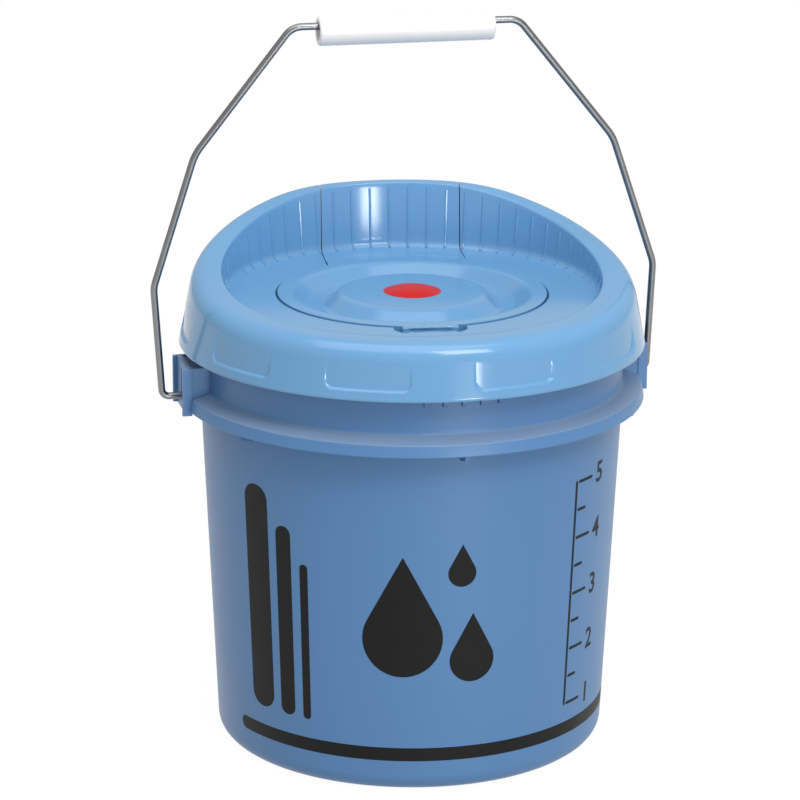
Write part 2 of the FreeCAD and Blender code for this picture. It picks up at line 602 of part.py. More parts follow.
def make_lid(lid_block, dish, rim_shell):
    """Lid with its sealing rib, the well under the cover, the slot for the tail and hinge knuckles."""
    rib = shared("sealing_rib", under_rim("rib_ceiling", "sizes.lid_wall / 2"), revolved("rib_ring", [
        (RIB_BORE, f"{LID_SEAT} - sizes.rib_drop"),
        (RIB_OUTER, f"{LID_SEAT} - sizes.rib_drop"),
        (RIB_OUTER, LID_SEAT),
        ("sizes.neck_radius + sizes.rib_clearance", LID_SEAT),
        ("sizes.neck_radius + sizes.rib_clearance", LID_TOP),
        (RIB_BORE, LID_TOP),
    ]))
    well = revolved("well_cup", [
        ("0", WELL_UNDER),
        (f"{WELL_RADIUS} + sizes.lid_floor", WELL_UNDER),
        (f"{WELL_RADIUS} + sizes.lid_floor", LEDGE_UNDER),
        (f"{GAP_RADIUS} + sizes.lid_floor", LEDGE_UNDER),
        (f"{GAP_RADIUS} + sizes.lid_floor", FLOOR_TOP),
        ("0", FLOOR_TOP),
    ])
    well_room = revolved("well_room", [
        ("0", WELL_FLOOR),
        (WELL_RADIUS, WELL_FLOOR),
        (WELL_RADIUS, LEDGE_TOP),
        (GAP_RADIUS, LEDGE_TOP),
        (GAP_RADIUS, LID_TOP),
        ("0", LID_TOP),
    ])
    nozzle_hole = revolved("nozzle_hole", [
        ("0", f"{WELL_UNDER} - {SPARE}"),
        ("sizes.nozzle_radius + sizes.nozzle_clearance", f"{WELL_UNDER} - {SPARE}"),
        ("sizes.nozzle_radius + sizes.nozzle_clearance", f"{WELL_FLOOR} + {SPARE}"),
        ("0", f"{WELL_FLOOR} + {SPARE}"),
    ])
    bridge_inset = "(sizes.lid_wall + sizes.slot_gap)"
    bridge_inner = f"({bridge_inset} + sizes.rib_wall)"
    beyond = f"({LID_RADIUS} + {SPARE})"
    above = f"({LID_TOP} + {SPARE})"
    trough = shared("trough", lid_block, revolved("trough_form", [
        (WELL_RADIUS, LEDGE_UNDER),
        (RIB_OUTER, LEDGE_UNDER),
        (RIB_OUTER, LID_SEAT),
        (skirt_radius(LID_SEAT, bridge_inner), LID_SEAT),
        (skirt_radius(SKIRT_LOW, bridge_inner), SKIRT_LOW),
        (beyond, SKIRT_LOW),
        (beyond, above),
        (WELL_RADIUS, above),
    ]), block("trough_slab", (f"-{TROUGH_HALF}", "0", SKIRT_LOW), (TROUGH_HALF, beyond, above)))
    slot = shared("slot", revolved("slot_form", [
        (WELL_RADIUS, LEDGE_TOP),
        (RIB_BORE, LEDGE_TOP),
        (RIB_BORE, WEB_TOP),
        (skirt_radius(WEB_TOP, bridge_inset), WEB_TOP),
        (skirt_radius(SLOT_LOW, bridge_inset), SLOT_LOW),
        (beyond, SLOT_LOW),
        (beyond, above),
        (WELL_RADIUS, above),
    ]), block("slot_slab", (f"-{SLOT_HALF}", "0", SKIRT_LOW), (SLOT_HALF, beyond, above)))
    pad_half = "(sizes.recess_half + sizes.lid_floor)"
    pad_end = f"({GAP_RADIUS} + sizes.recess_reach + sizes.lid_floor)"
    pad = block("recess_pad", (f"-{pad_half}", f"-{pad_end}", LEDGE_UNDER),
                (pad_half, f"-{WELL_RADIUS}", FLOOR_TOP))
    recess = extruded("finger_recess", "XY", [
        ("-sizes.recess_half", f"-({GAP_RADIUS} + sizes.recess_reach)", "sizes.recess_round"),
        ("sizes.recess_half", f"-({GAP_RADIUS} + sizes.recess_reach)", "sizes.recess_round"),
        ("sizes.recess_half", f"-{WELL_RADIUS}"),
        ("-sizes.recess_half", f"-{WELL_RADIUS}"),
    ], LID_TOP, f"-{LEDGE_TOP}")
    knuckle_room = rod_along_x("knuckle_room", KNUCKLE_ROOM, f"-{LID_KNUCKLE_START}", LID_KNUCKLE_START,
                               HINGE_Y, HINGE_Z)
    knuckle_notch = joined("knuckle_notch", block(
        "notch_below", (f"-{LID_KNUCKLE_START}", HINGE_Y, f"{SKIRT_LOW} - {SPARE}"),
        (LID_KNUCKLE_START, beyond, SLOT_LOW),
    ), block(
        "notch_above", (f"-{LID_KNUCKLE_START}", f"{HINGE_Y} - {KNUCKLE_ROOM}", HINGE_Z),
        (LID_KNUCKLE_START, beyond, SLOT_LOW),
    ))
    knuckles = [
        rod_along_x("lid_knuckle_left", "sizes.knuckle_radius", "-sizes.tail_half", f"-{LID_KNUCKLE_START}",
                    HINGE_Y, HINGE_Z),
        rod_along_x("lid_knuckle_right", "sizes.knuckle_radius", LID_KNUCKLE_START, "sizes.tail_half",
                    HINGE_Y, HINGE_Z),
    ]
    pin_hole = rod_along_x("lid_pin_hole", "sizes.pin_diameter / 2 + sizes.pin_grip",
                           f"-{TROUGH_HALF}", TROUGH_HALF, HINGE_Y, HINGE_Z)
    solid = joined("lid_solid", rim_shell, rib, well, trough, pad)
    opened = less("lid_opened", solid, dish, well_room, nozzle_hole, slot, recess,
                  knuckle_room, knuckle_notch, *make_panels())
    return turn_with_lid(less("lid", joined("lid_hinged", opened, *knuckles), pin_hole))


def make_panels():
    """Cutting shapes of the sunk panels round the skirt, leaving out those that meet the tail."""
    low = f"({SKIRT_LOW} + sizes.panel_low)"
    high = f"({SKIRT_LOW} + sizes.panel_high)"
    count = int(value("sizes.panel_count"))
    width = value("sizes.panel_width")
    step = 360 / count
    tail_angle = math.degrees(math.asin(value(TROUGH_HALF) / value(HINGE_Y)))
    panels = []
    for index in range(count):
        from_front = (index + 0.5) * step
        if abs(from_front - 180) < tail_angle + width / 2:
            continue
        panel = revolved(f"panel_{index}", [
            (skirt_radius(low, "sizes.panel_depth"), low),
            (skirt_radius(low, f"-{SPARE}"), low),
            (skirt_radius(high, f"-{SPARE}"), high),
            (skirt_radius(high), high),
        ], "sizes.panel_width")
        panels.append(turned(panel, FRONT + from_front - width / 2))
    return panels


def make_lid_gasket():
    """Soft ring between the bucket's rim and the lid's sealing rib."""
    return turn_with_lid(revolved("lid_gasket", [
        (NECK_BORE, "sizes.bucket_height"),
        ("sizes.neck_radius", "sizes.bucket_height"),
        ("sizes.neck_radius", LID_SEAT),
        (NECK_BORE, LID_SEAT),
    ]))


def make_flip_cover(rim_shell):
    """Cover in one piece: moated disc, finger tab, and a tail that climbs the back to its hinge."""
    slope = "sizes.disc_wall / 2"
    disc = revolved("cover_disc", [
        ("0", BOSS_TOP),
        (BOSS_RADIUS, BOSS_TOP),
        (MOAT_INNER, MOAT_FLOOR),
        (MOAT_OUTER, MOAT_FLOOR),
        (RING_BORE, RING_TOP),
        ("sizes.disc_radius", RING_TOP),
        ("sizes.disc_radius - sizes.disc_draft", RING_UNDER),
        (f"{RING_BORE} + {slope}", RING_UNDER),
        (f"{MOAT_OUTER} + {slope}", f"{MOAT_FLOOR} - sizes.disc_wall"),
        (f"{MOAT_INNER} - {slope}", f"{MOAT_FLOOR} - sizes.disc_wall"),
        (f"{BOSS_RADIUS} - {slope}", BOSS_UNDER),
        ("0", BOSS_UNDER),
    ])
    tab_end = "(sizes.disc_radius + sizes.tab_reach)"
    tab_root = f"({RING_BORE} + sizes.tail_lap)"
    tab = extruded("finger_tab", "XY", [
        ("-sizes.tab_half", f"-{tab_end}", "sizes.tab_round"),
        ("sizes.tab_half", f"-{tab_end}", "sizes.tab_round"),
        ("sizes.tab_half", f"-{tab_root}"),
        ("-sizes.tab_half", f"-{tab_root}"),
    ], RING_TOP, f"-{RING_UNDER}")
    beyond = f"({LID_RADIUS} + {SPARE})"
    tail = shared("tail_shell", rim_shell,
                  block("tail_slab", ("-sizes.tail_half", "0", SKIN_LOW),
                        ("sizes.tail_half", beyond, LID_TOP)))
    link = shared("tail_link", rim_shell,
                  block("link_slab", ("-sizes.knuckle_half", RIB_BORE, HINGE_Z),
                        ("sizes.knuckle_half", beyond, f"{SKIN_LOW} + sizes.disc_wall")))
    disc_room = revolved("disc_room", [
        ("0", SKIRT_LOW),
        ("sizes.disc_radius", SKIRT_LOW),
        ("sizes.disc_radius", RING_UNDER),
        (f"{RING_BORE} + sizes.tail_lap", RING_UNDER),
        (f"{RING_BORE} + sizes.tail_lap", LID_TOP),
        ("0", LID_TOP),
    ])
    knuckle = rod_along_x("cover_knuckle", "sizes.knuckle_radius",
                          "-sizes.knuckle_half", "sizes.knuckle_half", HINGE_Y, HINGE_Z)
    pin_hole = rod_along_x("cover_pin_hole", "sizes.pin_diameter / 2 + sizes.pin_clearance",
                           f"-{TROUGH_HALF}", TROUGH_HALF, HINGE_Y, HINGE_Z)
    stem_hole = revolved("stem_hole", [
        ("0", f"{BOSS_UNDER} - {SPARE}"),
        ("sizes.stem_radius + sizes.stem_clearance", f"{BOSS_UNDER} - {SPARE}"),
        ("sizes.stem_radius + sizes.stem_clearance", f"{BOSS_TOP} + {SPARE}"),
        ("0", f"{BOSS_TOP} + {SPARE}"),
    ])
    solid = joined("cover_solid", disc, tab, less("cover_tail", tail, disc_room), link, knuckle)
    return turn_with_lid(less("flip_cover", solid, stem_hole, pin_hole))


def make_cover_hinge_pin():
    """Steel pin through the lid's and the cover's knuckles."""
    return turn_with_lid(rod_along_x("cover_hinge_pin", "sizes.pin_diameter / 2",
                                     "-sizes.tail_half", "sizes.tail_half", HINGE_Y, HINGE_Z))


def make_cover_seal():
    """Foam ring under the disc, over the lid's ledge."""
    inner = f"({WELL_RADIUS} + sizes.seal_inset)"
    outer = f"({inner} + sizes.seal_width)"
    return turn_with_lid(revolved("cover_seal", [
        (inner, f"{LEDGE_TOP} + sizes.seal_gap"),
        (outer, f"{LEDGE_TOP} + sizes.seal_gap"),
        (outer, RING_UNDER),
        (inner, RING_UNDER),
    ]))


def make_orifice_stopper():
    """Red stopper in the boss: a dome on top, a stem with a barb, and a tip in the orifice."""
    bend = "((sizes.dome_radius ^ 2 + sizes.dome_height ^ 2) / (2 * sizes.dome_height))"
    ball = doc.addObject("Part::Sphere", "dome_ball")
    ball.setExpression("Radius", bend)
    ball.setExpression("Placement.Base.z", f"{BOSS_TOP} + sizes.dome_height - {bend}")
    reach = f"(sizes.dome_radius + {SPARE})"
    dome = shared("dome", ball, block("dome_slab", (f"-{reach}", f"-{reach}", BOSS_TOP),
                                      (reach, reach, f"{BOSS_TOP} + sizes.dome_height + {SPARE}")))
    barb = "(sizes.stem_radius + sizes.barb_reach)"
    barb_low = f"({BOSS_UNDER} - sizes.barb_height)"
    stem = revolved("stem", [
        ("0", f"{NOZZLE_TOP} - sizes.tip_depth"),
        ("sizes.tip_radius", f"{NOZZLE_TOP} - sizes.tip_depth"),
        ("sizes.tip_radius", barb_low),
        (barb, barb_low),
        (barb, BOSS_UNDER),
        ("sizes.stem_radius", BOSS_UNDER),
        ("sizes.stem_radius", f"{BOSS_TOP} + sizes.dome_height / 2"),
        ("0", f"{BOSS_TOP} + sizes.dome_height / 2"),
    ])
    return turn_with_lid(joined("orifice_stopper", dome, stem))


def make_dispensing_nozzle():
    """Flanged insert in the well, with a slit orifice that grips the wipe as it is pulled."""
    rim = "(sizes.nozzle_radius + sizes.nozzle_flange)"
    bore = "(sizes.nozzle_radius - sizes.nozzle_wall)"
    shoulder = f"({WELL_FLOOR} + sizes.nozzle_wall)"
    barrel_low = f"({WELL_FLOOR} - sizes.nozzle_drop)"
    form = revolved("nozzle_form", [
        ("0", NOZZLE_TOP),
        ("sizes.nozzle_flat", NOZZLE_TOP),
        ("sizes.nozzle_radius", shoulder),
        (rim, shoulder),
        (rim, WELL_FLOOR),
        ("sizes.nozzle_radius", WELL_FLOOR),
        ("sizes.nozzle_radius", barrel_low),
        (bore, barrel_low),
        (bore, WELL_FLOOR),
        ("sizes.nozzle_flat", f"{NOZZLE_TOP} - sizes.nozzle_wall"),
        ("0", f"{NOZZLE_TOP} - sizes.nozzle_wall"),
    ])
    above = f"({NOZZLE_TOP} + {SPARE})"
    orifice = revolved("orifice", [
        ("0", barrel_low),
        ("sizes.orifice_radius", barrel_low),
        ("sizes.orifice_radius", above),
        ("0", above),
    ])
    slit_end = "(sizes.orifice_radius + sizes.slit_length)"
    slits = []
    count = int(value("sizes.slit_count"))
    for index in range(count):
        slit = extruded(f"slit_{index}", "XZ", [
            ("0", WELL_FLOOR),
            (slit_end, WELL_FLOOR),
            (slit_end, above),
            ("0", above),
        ], "sizes.slit_width / 2", "sizes.slit_width / 2")
        slits.append(turned(slit, FRONT + index * 360 / count))
    return turn_with_lid(less("dispensing_nozzle", form, orifice, *slits))


def make_nozzle_ring():
    """Ring under the well that holds the nozzle's barrel."""
    inner = "(sizes.nozzle_radius + sizes.nozzle_clearance)"
    outer = "(sizes.nozzle_radius + sizes.nozzle_flange)"
    return turn_with_lid(revolved("nozzle_ring", [
        (inner, f"{WELL_UNDER} - sizes.nut_height"),
        (outer, f"{WELL_UNDER} - sizes.nut_height"),
        (outer, WELL_UNDER),
        (inner, WELL_UNDER),
    ]))


def main():
    """Build every piece, check it and write it."""
    dish = make_dish()
    lid_block = make_lid_block()
    rim_shell = make_rim_shell(lid_block, dish)
    pieces = make_bucket() + [
        make_wipe_roll(),
        make_bail_wire(),
        make_bail_grip(),
        make_lid(lid_block, dish, rim_shell),
        make_lid_gasket(),
        make_flip_cover(rim_shell),
        make_cover_hinge_pin(),
        make_cover_seal(),
        make_orifice_stopper(),
        make_dispensing_nozzle(),
        make_nozzle_ring(),
    ]
    doc.recompute()
    for thing in doc.Objects:
        if "Invalid" in thing.State or "Error" in thing.State:
            raise RuntimeError(f"{thing.Name} failed: {thing.State}")
    for piece in pieces:
        shape = piece.Shape
        if shape.isNull() or not shape.isValid() or len(shape.Solids) != 1:
            raise RuntimeError(f"{piece.Label}: {len(shape.Solids)} solids, valid {shape.isValid()}")
    os.makedirs("parts", exist_ok=True)
    for piece in pieces:
        piece.Shape.exportStep(os.path.join("parts", piece.Label + ".step"))
        print(piece.Label, round(piece.Shape.Volume), piece.Shape.BoundBox)


main()
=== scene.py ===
import math
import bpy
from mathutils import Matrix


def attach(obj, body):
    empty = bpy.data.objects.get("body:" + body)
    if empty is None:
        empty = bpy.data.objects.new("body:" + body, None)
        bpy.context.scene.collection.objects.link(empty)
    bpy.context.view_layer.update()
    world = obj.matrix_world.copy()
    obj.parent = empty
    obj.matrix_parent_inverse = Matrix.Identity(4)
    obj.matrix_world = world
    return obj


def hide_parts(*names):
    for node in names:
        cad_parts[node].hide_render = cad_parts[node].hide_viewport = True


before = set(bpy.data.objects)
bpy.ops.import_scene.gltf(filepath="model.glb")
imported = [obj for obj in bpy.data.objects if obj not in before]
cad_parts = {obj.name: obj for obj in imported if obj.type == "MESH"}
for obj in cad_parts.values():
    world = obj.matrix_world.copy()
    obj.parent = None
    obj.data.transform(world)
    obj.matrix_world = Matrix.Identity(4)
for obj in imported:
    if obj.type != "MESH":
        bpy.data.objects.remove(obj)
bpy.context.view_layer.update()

from types import SimpleNamespace

import bmesh
import bpy
from mathutils import Matrix, Vector

# Wipe roll dispenser: a blue bucket with a wire bail, a lid with a scooped rim, and a flip cover
# over the nozzle that the wipes are pulled through.
# Shapes are worked out in millimetres and become metres when a mesh is made. +Z is up, the front
# of the bucket faces -Y, and the bail turns about X. The lid and all that it carries are drawn
# square to the frame and then turned a little on the bucket.

bl_info = {
    "name": "Wipe Roll Dispenser",
    "version": (1, 0, 0),
    "blender": (4, 5, 0),
    "location": "View3D > Sidebar > Dispenser",
    "description": "Builds the looks of a wipe roll dispenser bucket round its packed frame",
    "category": "Object",
}

MM = 0.001
TURN = 2 * math.pi


# ---------------------------------------------------------------- sizes and colours

def linear(code):
    """Linear colour with full alpha from an sRGB hex code."""
    values = [int(code[at:at + 2], 16) / 255 for at in (1, 3, 5)]
    red, green, blue = (v / 12.92 if v <= 0.04045 else ((v + 0.055) / 1.055) ** 2.4
                        for v in values)
    return (red, green, blue, 1.0)


def length(name, description, millimetres):
    """Length property with its default in millimetres."""
    return bpy.props.FloatProperty(name=name, description=description, default=millimetres * MM,
                                   precision=5, subtype="DISTANCE", unit="LENGTH")


def angle(name, description, degrees):
    """Angle property with its default in degrees."""
    return bpy.props.FloatProperty(name=name, description=description, subtype="ANGLE",
                                   unit="ROTATION", default=math.radians(degrees))


def number(name, description, default):
    """Whole number property."""
    return bpy.props.IntProperty(name=name, description=description, default=default, min=1)


def colour(name, description, code):
    """Colour property with its default as an sRGB hex code."""
    return bpy.props.FloatVectorProperty(name=name, description=description, default=linear(code),
                                         size=4, min=0, max=1, subtype="COLOR")


class BucketSizes(bpy.types.PropertyGroup):
    """Sizes of the bucket."""
    base_radius: length("Base radius", "Outer radius where the wall's line meets the floor", 98.9)
    base_round: length("Base rounding", "Rounding of the bottom edge", 11.3)
    height: length("Height", "Rim of the bucket above its base", 226.7)
    neck_radius: length("Neck radius", "Outer radius of the straight neck", 107.2)
    wall: length("Wall", "Thickness of the wall", 2.0)
    floor: length("Floor", "Thickness of the floor", 2.6)
    flange_low: length("Flange height", "Lower edge of the flange above the base", 179.1)
    flange_reach: length("Flange reach", "Flange out from the neck", 10.9)
    flange_lip: length("Flange lip", "Height of the flange's outer lip", 6.1)
    flange_lean: length("Flange lean", "Lip's upper edge in from its lower edge", 1.3)
    flange_rise: length("Flange rise", "Lower edge up to where the ledge meets the neck", 9.2)
    flange_wall: length("Flange wall", "Thickness of the flange", 2.0)
    gusset_count: number("Gussets", "Ribs under the flange", 6)
    gusset_thick: length("Gusset thickness", "Thickness of a rib under the flange", 2.4)
    gusset_drop: length("Gusset drop", "Rib below the flange's lower edge", 5.0)
    tooth_count: number("Teeth", "Small teeth on the front of the neck", 5)
    tooth_step: angle("Tooth step", "Angle between teeth", 4.9)
    tooth_width: length("Tooth width", "Width of a tooth", 1.8)
    tooth_reach: length("Tooth reach", "Tooth out from the neck", 1.6)
    tooth_height: length("Tooth height", "Height of a tooth", 3.2)
    tooth_drop: length("Tooth drop", "Rim of the bucket down to the teeth", 21.7)
    ear_stand: length("Ear stand", "Ear plate out from the flange", 2.4)
    ear_width: length("Ear width", "Width of an ear", 30.0)
    ear_low: length("Ear drop", "Ear below the flange's lower edge", 2.0)
    ear_high: length("Ear rise", "Ear above the flange's lower edge", 22.4)
    ear_wall: length("Ear wall", "Thickness of an ear's plates", 2.6)
    ear_round: length("Ear rounding", "Rounding of an ear's lower corners", 2.0)
    pivot_rise: length("Pivot rise", "Bail axis above the flange's lower edge", 4.9)
    pivot_bore: length("Pivot bore", "Radius of the hole in an ear", 2.2)


class LidSizes(bpy.types.PropertyGroup):
    """Sizes of the lid."""
    turn: angle("Turn", "Turn of the lid on the bucket", -6.1)
    seat: length("Seat", "Lid seat above the base", 229.2)
    skirt_low: length("Skirt height", "Lower edge of the skirt above the base", 207.0)
    skirt_radius: length("Skirt radius", "Outer radius of the skirt's lower edge", 118.0)
    draft: angle("Draft", "Lean of the skirt", 11.2)
    wall: length("Wall", "Thickness of skirt and rim", 2.4)
    rim_front: length("Rim at the front", "Top of the rim at the front", 234.5)
    rim_side: length("Rim at the sides", "Top of the rim at the sides", 241.5)
    rim_back: length("Rim at the back", "Top of the rim at the back", 266.0)
    rim_middle: length("Rim radius", "Middle of the rim's top, where the climb ends", 102.0)
    rim_soft: length("Rim shoulder", "Run of the soft rounding on the rim's outer edge", 9.0)
    rim_crisp: length("Rim inner edge", "Run of the rounding on the rim's inner edge", 1.2)
    floor_top: length("Floor", "Top of the dished floor above the base", 231.0)
    floor_thick: length("Floor thickness", "Thickness of the floor", 2.2)
    dish_foot: length("Dish radius", "Line of the inner wall at the floor", 95.0)
    dish_draft: angle("Dish draft", "Lean of the inner wall", 5.5)
    dish_round: length("Dish rounding", "Rounding between floor and inner wall", 4.5)
    gap_radius: length("Gap radius", "Outer edge of the gap round the cover", 69.0)
    ledge: length("Ledge", "Ledge under the cover's edge, above the base", 227.0)
    well_radius: length("Well radius", "Well under the cover", 64.0)
    well_floor: length("Well floor", "Floor of the well above the base", 220.5)
    slot_half: length("Slot half width", "Half the width of the slot for the cover's tail", 37.0)
    panel_count: number("Panels", "Panels that a full turn would hold", 10)
    panel_width: angle("Panel width", "Angle of a sunk panel", 20.7)
    panel_low: length("Panel foot", "Panel's lower edge above the skirt's", 5.0)
    panel_high: length("Panel top", "Panel's upper edge above the skirt's", 18.0)
    panel_depth: length("Panel depth", "Depth of a panel at its lower edge", 1.3)
    panel_round: length("Panel rounding", "Rounding of a panel's lower corners", 4.0)
    recess_half: length("Recess half width", "Half the width of the finger recess", 17.5)
    recess_reach: length("Recess reach", "Finger recess out from the gap", 7.0)
    recess_round: length("Recess rounding", "Rounding of the recess's corners", 5.0)
    rib_count: number("Wall ribs", "Fine upright ribs in the full turn of the inner wall", 60)
    rib_radius: length("Wall rib size", "Radius of a fine rib, half sunk in the wall", 0.65)


class CoverSizes(bpy.types.PropertyGroup):
    """Sizes of the flip cover, its hinge and what it closes."""
    disc_radius: length("Disc radius", "Cover disc", 68.2)
    wall: length("Wall", "Thickness of the disc", 2.2)
    ring_top: length("Ring", "Top of the disc's ring above the base", 231.8)
    ring_bore: length("Ring bore", "Inner edge of the disc's ring", 60.0)
    moat_outer: length("Moat outer radius", "Outer edge of the moat's floor", 52.0)
    moat_inner: length("Moat inner radius", "Inner edge of the moat's floor", 45.0)
    boss_radius: length("Boss radius", "Flat top of the central boss", 37.0)
    moat_floor: length("Moat floor", "Floor of the moat above the base", 225.0)
    boss_top: length("Boss", "Top of the boss above the base", 231.6)
    tail_half: length("Tail half width", "Half the width of the cover's tail", 36.5)
    tail_low: length("Tail foot", "Lower edge of the tail at the back", 216.3)
    tab_half: length("Tab half width", "Half the width of the finger tab", 14.0)
    tab_reach: length("Tab reach", "Finger tab out from the disc", 2.3)
    tab_round: length("Tab rounding", "Rounding of the tab's corners", 4.0)
    hinge_y: length("Hinge place", "Hinge axis behind the middle", 113.5)
    hinge_z: length("Hinge height", "Hinge axis above the base", 211.0)
    knuckle_radius: length("Knuckle radius", "Hinge knuckles", 4.0)
    knuckle_half: length("Knuckle half length", "Half the length of the cover's knuckle", 23.5)
    pin_radius: length("Pin radius", "Hinge pin", 1.6)
    dome_radius: length("Dome radius", "Edge of the red dome", 14.75)
    dome_height: length("Dome height", "Red dome above the boss", 2.9)
    nozzle_radius: length("Nozzle radius", "Barrel of the nozzle", 21.5)
    nozzle_flat: length("Nozzle flat", "Radius of the nozzle's flat top", 9.0)
    nozzle_top: length("Nozzle top", "Top of the nozzle above the base", 227.0)
    orifice_radius: length("Orifice", "Orifice that the wipe passes", 5.0)
    slit_count: number("Slits", "Slits that make the nozzle's petals", 6)
    slit_width: length("Slit width", "Width of a slit", 1.0)


class BailSizes(bpy.types.PropertyGroup):
    """Sizes of the bail, its grip and the roll of wipes."""
    pivot: length("Pivot height", "Bail axis above the base", 184.0)
    lean: angle("Lean", "Forward lean of the raised bail", 3.0)
    wire_radius: length("Wire radius", "Bail wire", 1.78)
    wire_end: length("Wire end", "Wire's end from the middle of the bail", 111.7)
    leg_half: length("Leg", "Wire's legs from the middle of the bail", 126.3)
    hip_spread: length("Hip spread", "Widest bend out from the leg", 2.8)
    hip_rise: length("Hip rise", "Widest bend above the axis", 57.1)
    shoulder_inset: length("Shoulder inset", "Shoulder bend in from the leg", 19.5)
    shoulder_rise: length("Shoulder rise", "Shoulder bend above the axis", 124.3)
    crown_inset: length("Crown inset", "Crown bend in from the leg", 69.1)
    crown_rise: length("Crown rise", "Crown above the axis", 186.5)
    shift: length("Bail shift", "How far the bail has slid in its ears", 2.0)
    skew: length("Crown skew", "Sideways set of the crown", 4.5)
    grip_length: length("Grip length", "Carrying grip", 88.5)
    grip_radius: length("Grip radius", "Outside of the grip", 7.25)
    grip_bore: length("Grip bore", "Radius of the grip's bore", 4.6)
    grip_drop: length("Grip drop", "Grip's axis below the wire's", 2.5)
    roll_radius: length("Roll radius", "Outside of the roll of wipes", 86.0)
    roll_core: length("Roll core", "Radius of the roll's open centre", 27.0)
    roll_height: length("Roll height", "Height of the roll of wipes", 160.0)


class Finishes(bpy.types.PropertyGroup):
    """Colours of the materials."""
    bucket: colour("Bucket", "Satin blue of the bucket", "#5482B3")
    lid: colour("Lid", "Lighter glossy blue of lid and cover", "#6BA1CD")
    grip: colour("Grip", "White of the grip", "#F0F0F1")
    wire: colour("Wire", "Grey of the galvanised wire", "#86888A")
    dome: colour("Dome", "Red of the stopper", "#C81A1C")
    nozzle: colour("Nozzle", "White of the nozzle and its ring", "#E4E6E6")
    rubber: colour("Rubber", "Dark grey of gasket and seal", "#3A3C3F")
    wipes: colour("Wipes", "White of the wipes", "#F0F0EC")
    ink: colour("Ink", "Black of the print", "#0C0D0E")


# ---------------------------------------------------------------- tools

RUN_SHARE = 0.48  # most of an edge's length that one rounding takes
NO_GUARD = 99  # leaves the guard points out
MERGE_DISTANCE = 0.002  # mm; closer points become one
THIN_DISTANCE = 0.0005  # mm; thinner faces are dropped
SHARP_ANGLE = 38  # degrees at which an edge counts as sharp
SOFT_ANGLE = 50  # the same for the lid's skin and the cover's tail
BEVEL_ANGLE = 40  # degrees at which an edge is softened


def own_properties(group):
    """A group's own properties, without those that Blender adds."""
    return [prop for prop in group.bl_rna.properties if prop.identifier not in {"rna_type", "name"}]


def in_millimetres(group):
    """A group's sizes, its lengths in millimetres."""
    sizes = {}
    for prop in own_properties(group):
        scale = 1 / MM if prop.unit == "LENGTH" else 1
        sizes[prop.identifier] = getattr(group, prop.identifier) * scale
    return SimpleNamespace(**sizes)


def mix(start, end, share):
    """Number between two numbers."""
    return start + (end - start) * share


def between(start, end, share):
    """Point between two points."""
    return tuple(mix(a, b, share) for a, b in zip(start, end))


def ease(low, high, x):
    """Smooth step from 0 at low to 1 at high."""
    t = min(1.0, max(0.0, (x - low) / (high - low)))
    return t * t * (3 - 2 * t)


def spread(start, end, steps):
    """Evenly spaced numbers, both ends among them."""
    return [mix(start, end, step / steps) for step in range(steps + 1)]


def arc(middle, radius, start, end, steps):
    """Points on an arc between two angles."""
    return [(middle[0] + radius * math.cos(turn), middle[1] + radius * math.sin(turn))
            for turn in spread(start, end, steps)]


def bow(start, corner, end, share):
    """Point on a rounding that leaves one line for another at a corner."""
    a, b, c = (1 - share) ** 2, 2 * share * (1 - share), share ** 2
    return tuple(a * s + b * k + c * e for s, k, e in zip(start, corner, end))


def rounded(corners, closed=False, steps=6, guard=0.7):
    """Outline through (across, up) or (across, up, rounding) corners, with guard points beside the
    arcs, which keep the shading of the flats even."""
    count = len(corners)
    points = []
    for index, corner in enumerate(corners):
        here = Vector(corner[:2])
        at_end = not closed and index in (0, count - 1)
        if len(corner) < 3 or at_end:
            points.append(tuple(here))
            continue
        before = Vector(corners[index - 1][:2]) - here
        after = Vector(corners[(index + 1) % count][:2]) - here
        back, on = before.normalized(), after.normalized()
        half = before.angle(after) / 2
        shorter = min(before.length, after.length)
        run = min(corner[2] / math.tan(half), RUN_SHARE * shorter)
        radius = run * math.tan(half)
        middle = here + (back + on).normalized() * radius / math.sin(half)
        first, last = here + back * run, here + on * run
        if before.length - run > 3 * guard:
            points.append(tuple(first + back * guard))
        start = first - middle
        sweep = start.angle_signed(last - middle)
        for step in range(steps + 1):
            around = Matrix.Rotation(-sweep * step / steps, 2) @ start
            points.append(tuple(middle + around))
        if after.length - run > 3 * guard:
            points.append(tuple(last + on * guard))
    return points


def lathe(outline, columns=192, loop=False):
    """Points and faces of an outline of (radius, height) pairs turned about Z."""
    points, rows, faces = [], [], []
    for radius, height in outline:
        if radius < 1e-6:
            rows.append([len(points)] * columns)
            points.append((0, 0, height))
            continue
        rows.append(list(range(len(points), len(points) + columns)))
        for column in range(columns):
            turn = TURN * column / columns
            points.append((radius * math.cos(turn), radius * math.sin(turn), height))
    pairs = list(zip(rows, rows[1:])) + ([(rows[-1], rows[0])] if loop else [])
    for low, high in pairs:
        for column in range(columns):
            following = (column + 1) % columns
            around = (low[column], low[following], high[following], high[column])
            faces.append(tuple(dict.fromkeys(around)))
    return points, faces


def ring(corners, columns=192, steps=6):
    """Closed ring about Z with a rounded section."""
    return lathe(rounded(corners, closed=True, steps=steps), columns, loop=True)


def lofted(rows, closed=False):
    """Points and faces of a grid given as rows of points, each row a loop if closed."""
    width = len(rows[0])
    points = [point for row in rows for point in row]
    faces = []
    for row in range(len(rows) - 1):
        for column in range(width if closed else width - 1):
            following = (column + 1) % width
            faces.append((row * width + column, row * width + following,
                          (row + 1) * width + following, (row + 1) * width + column))
    return points, faces


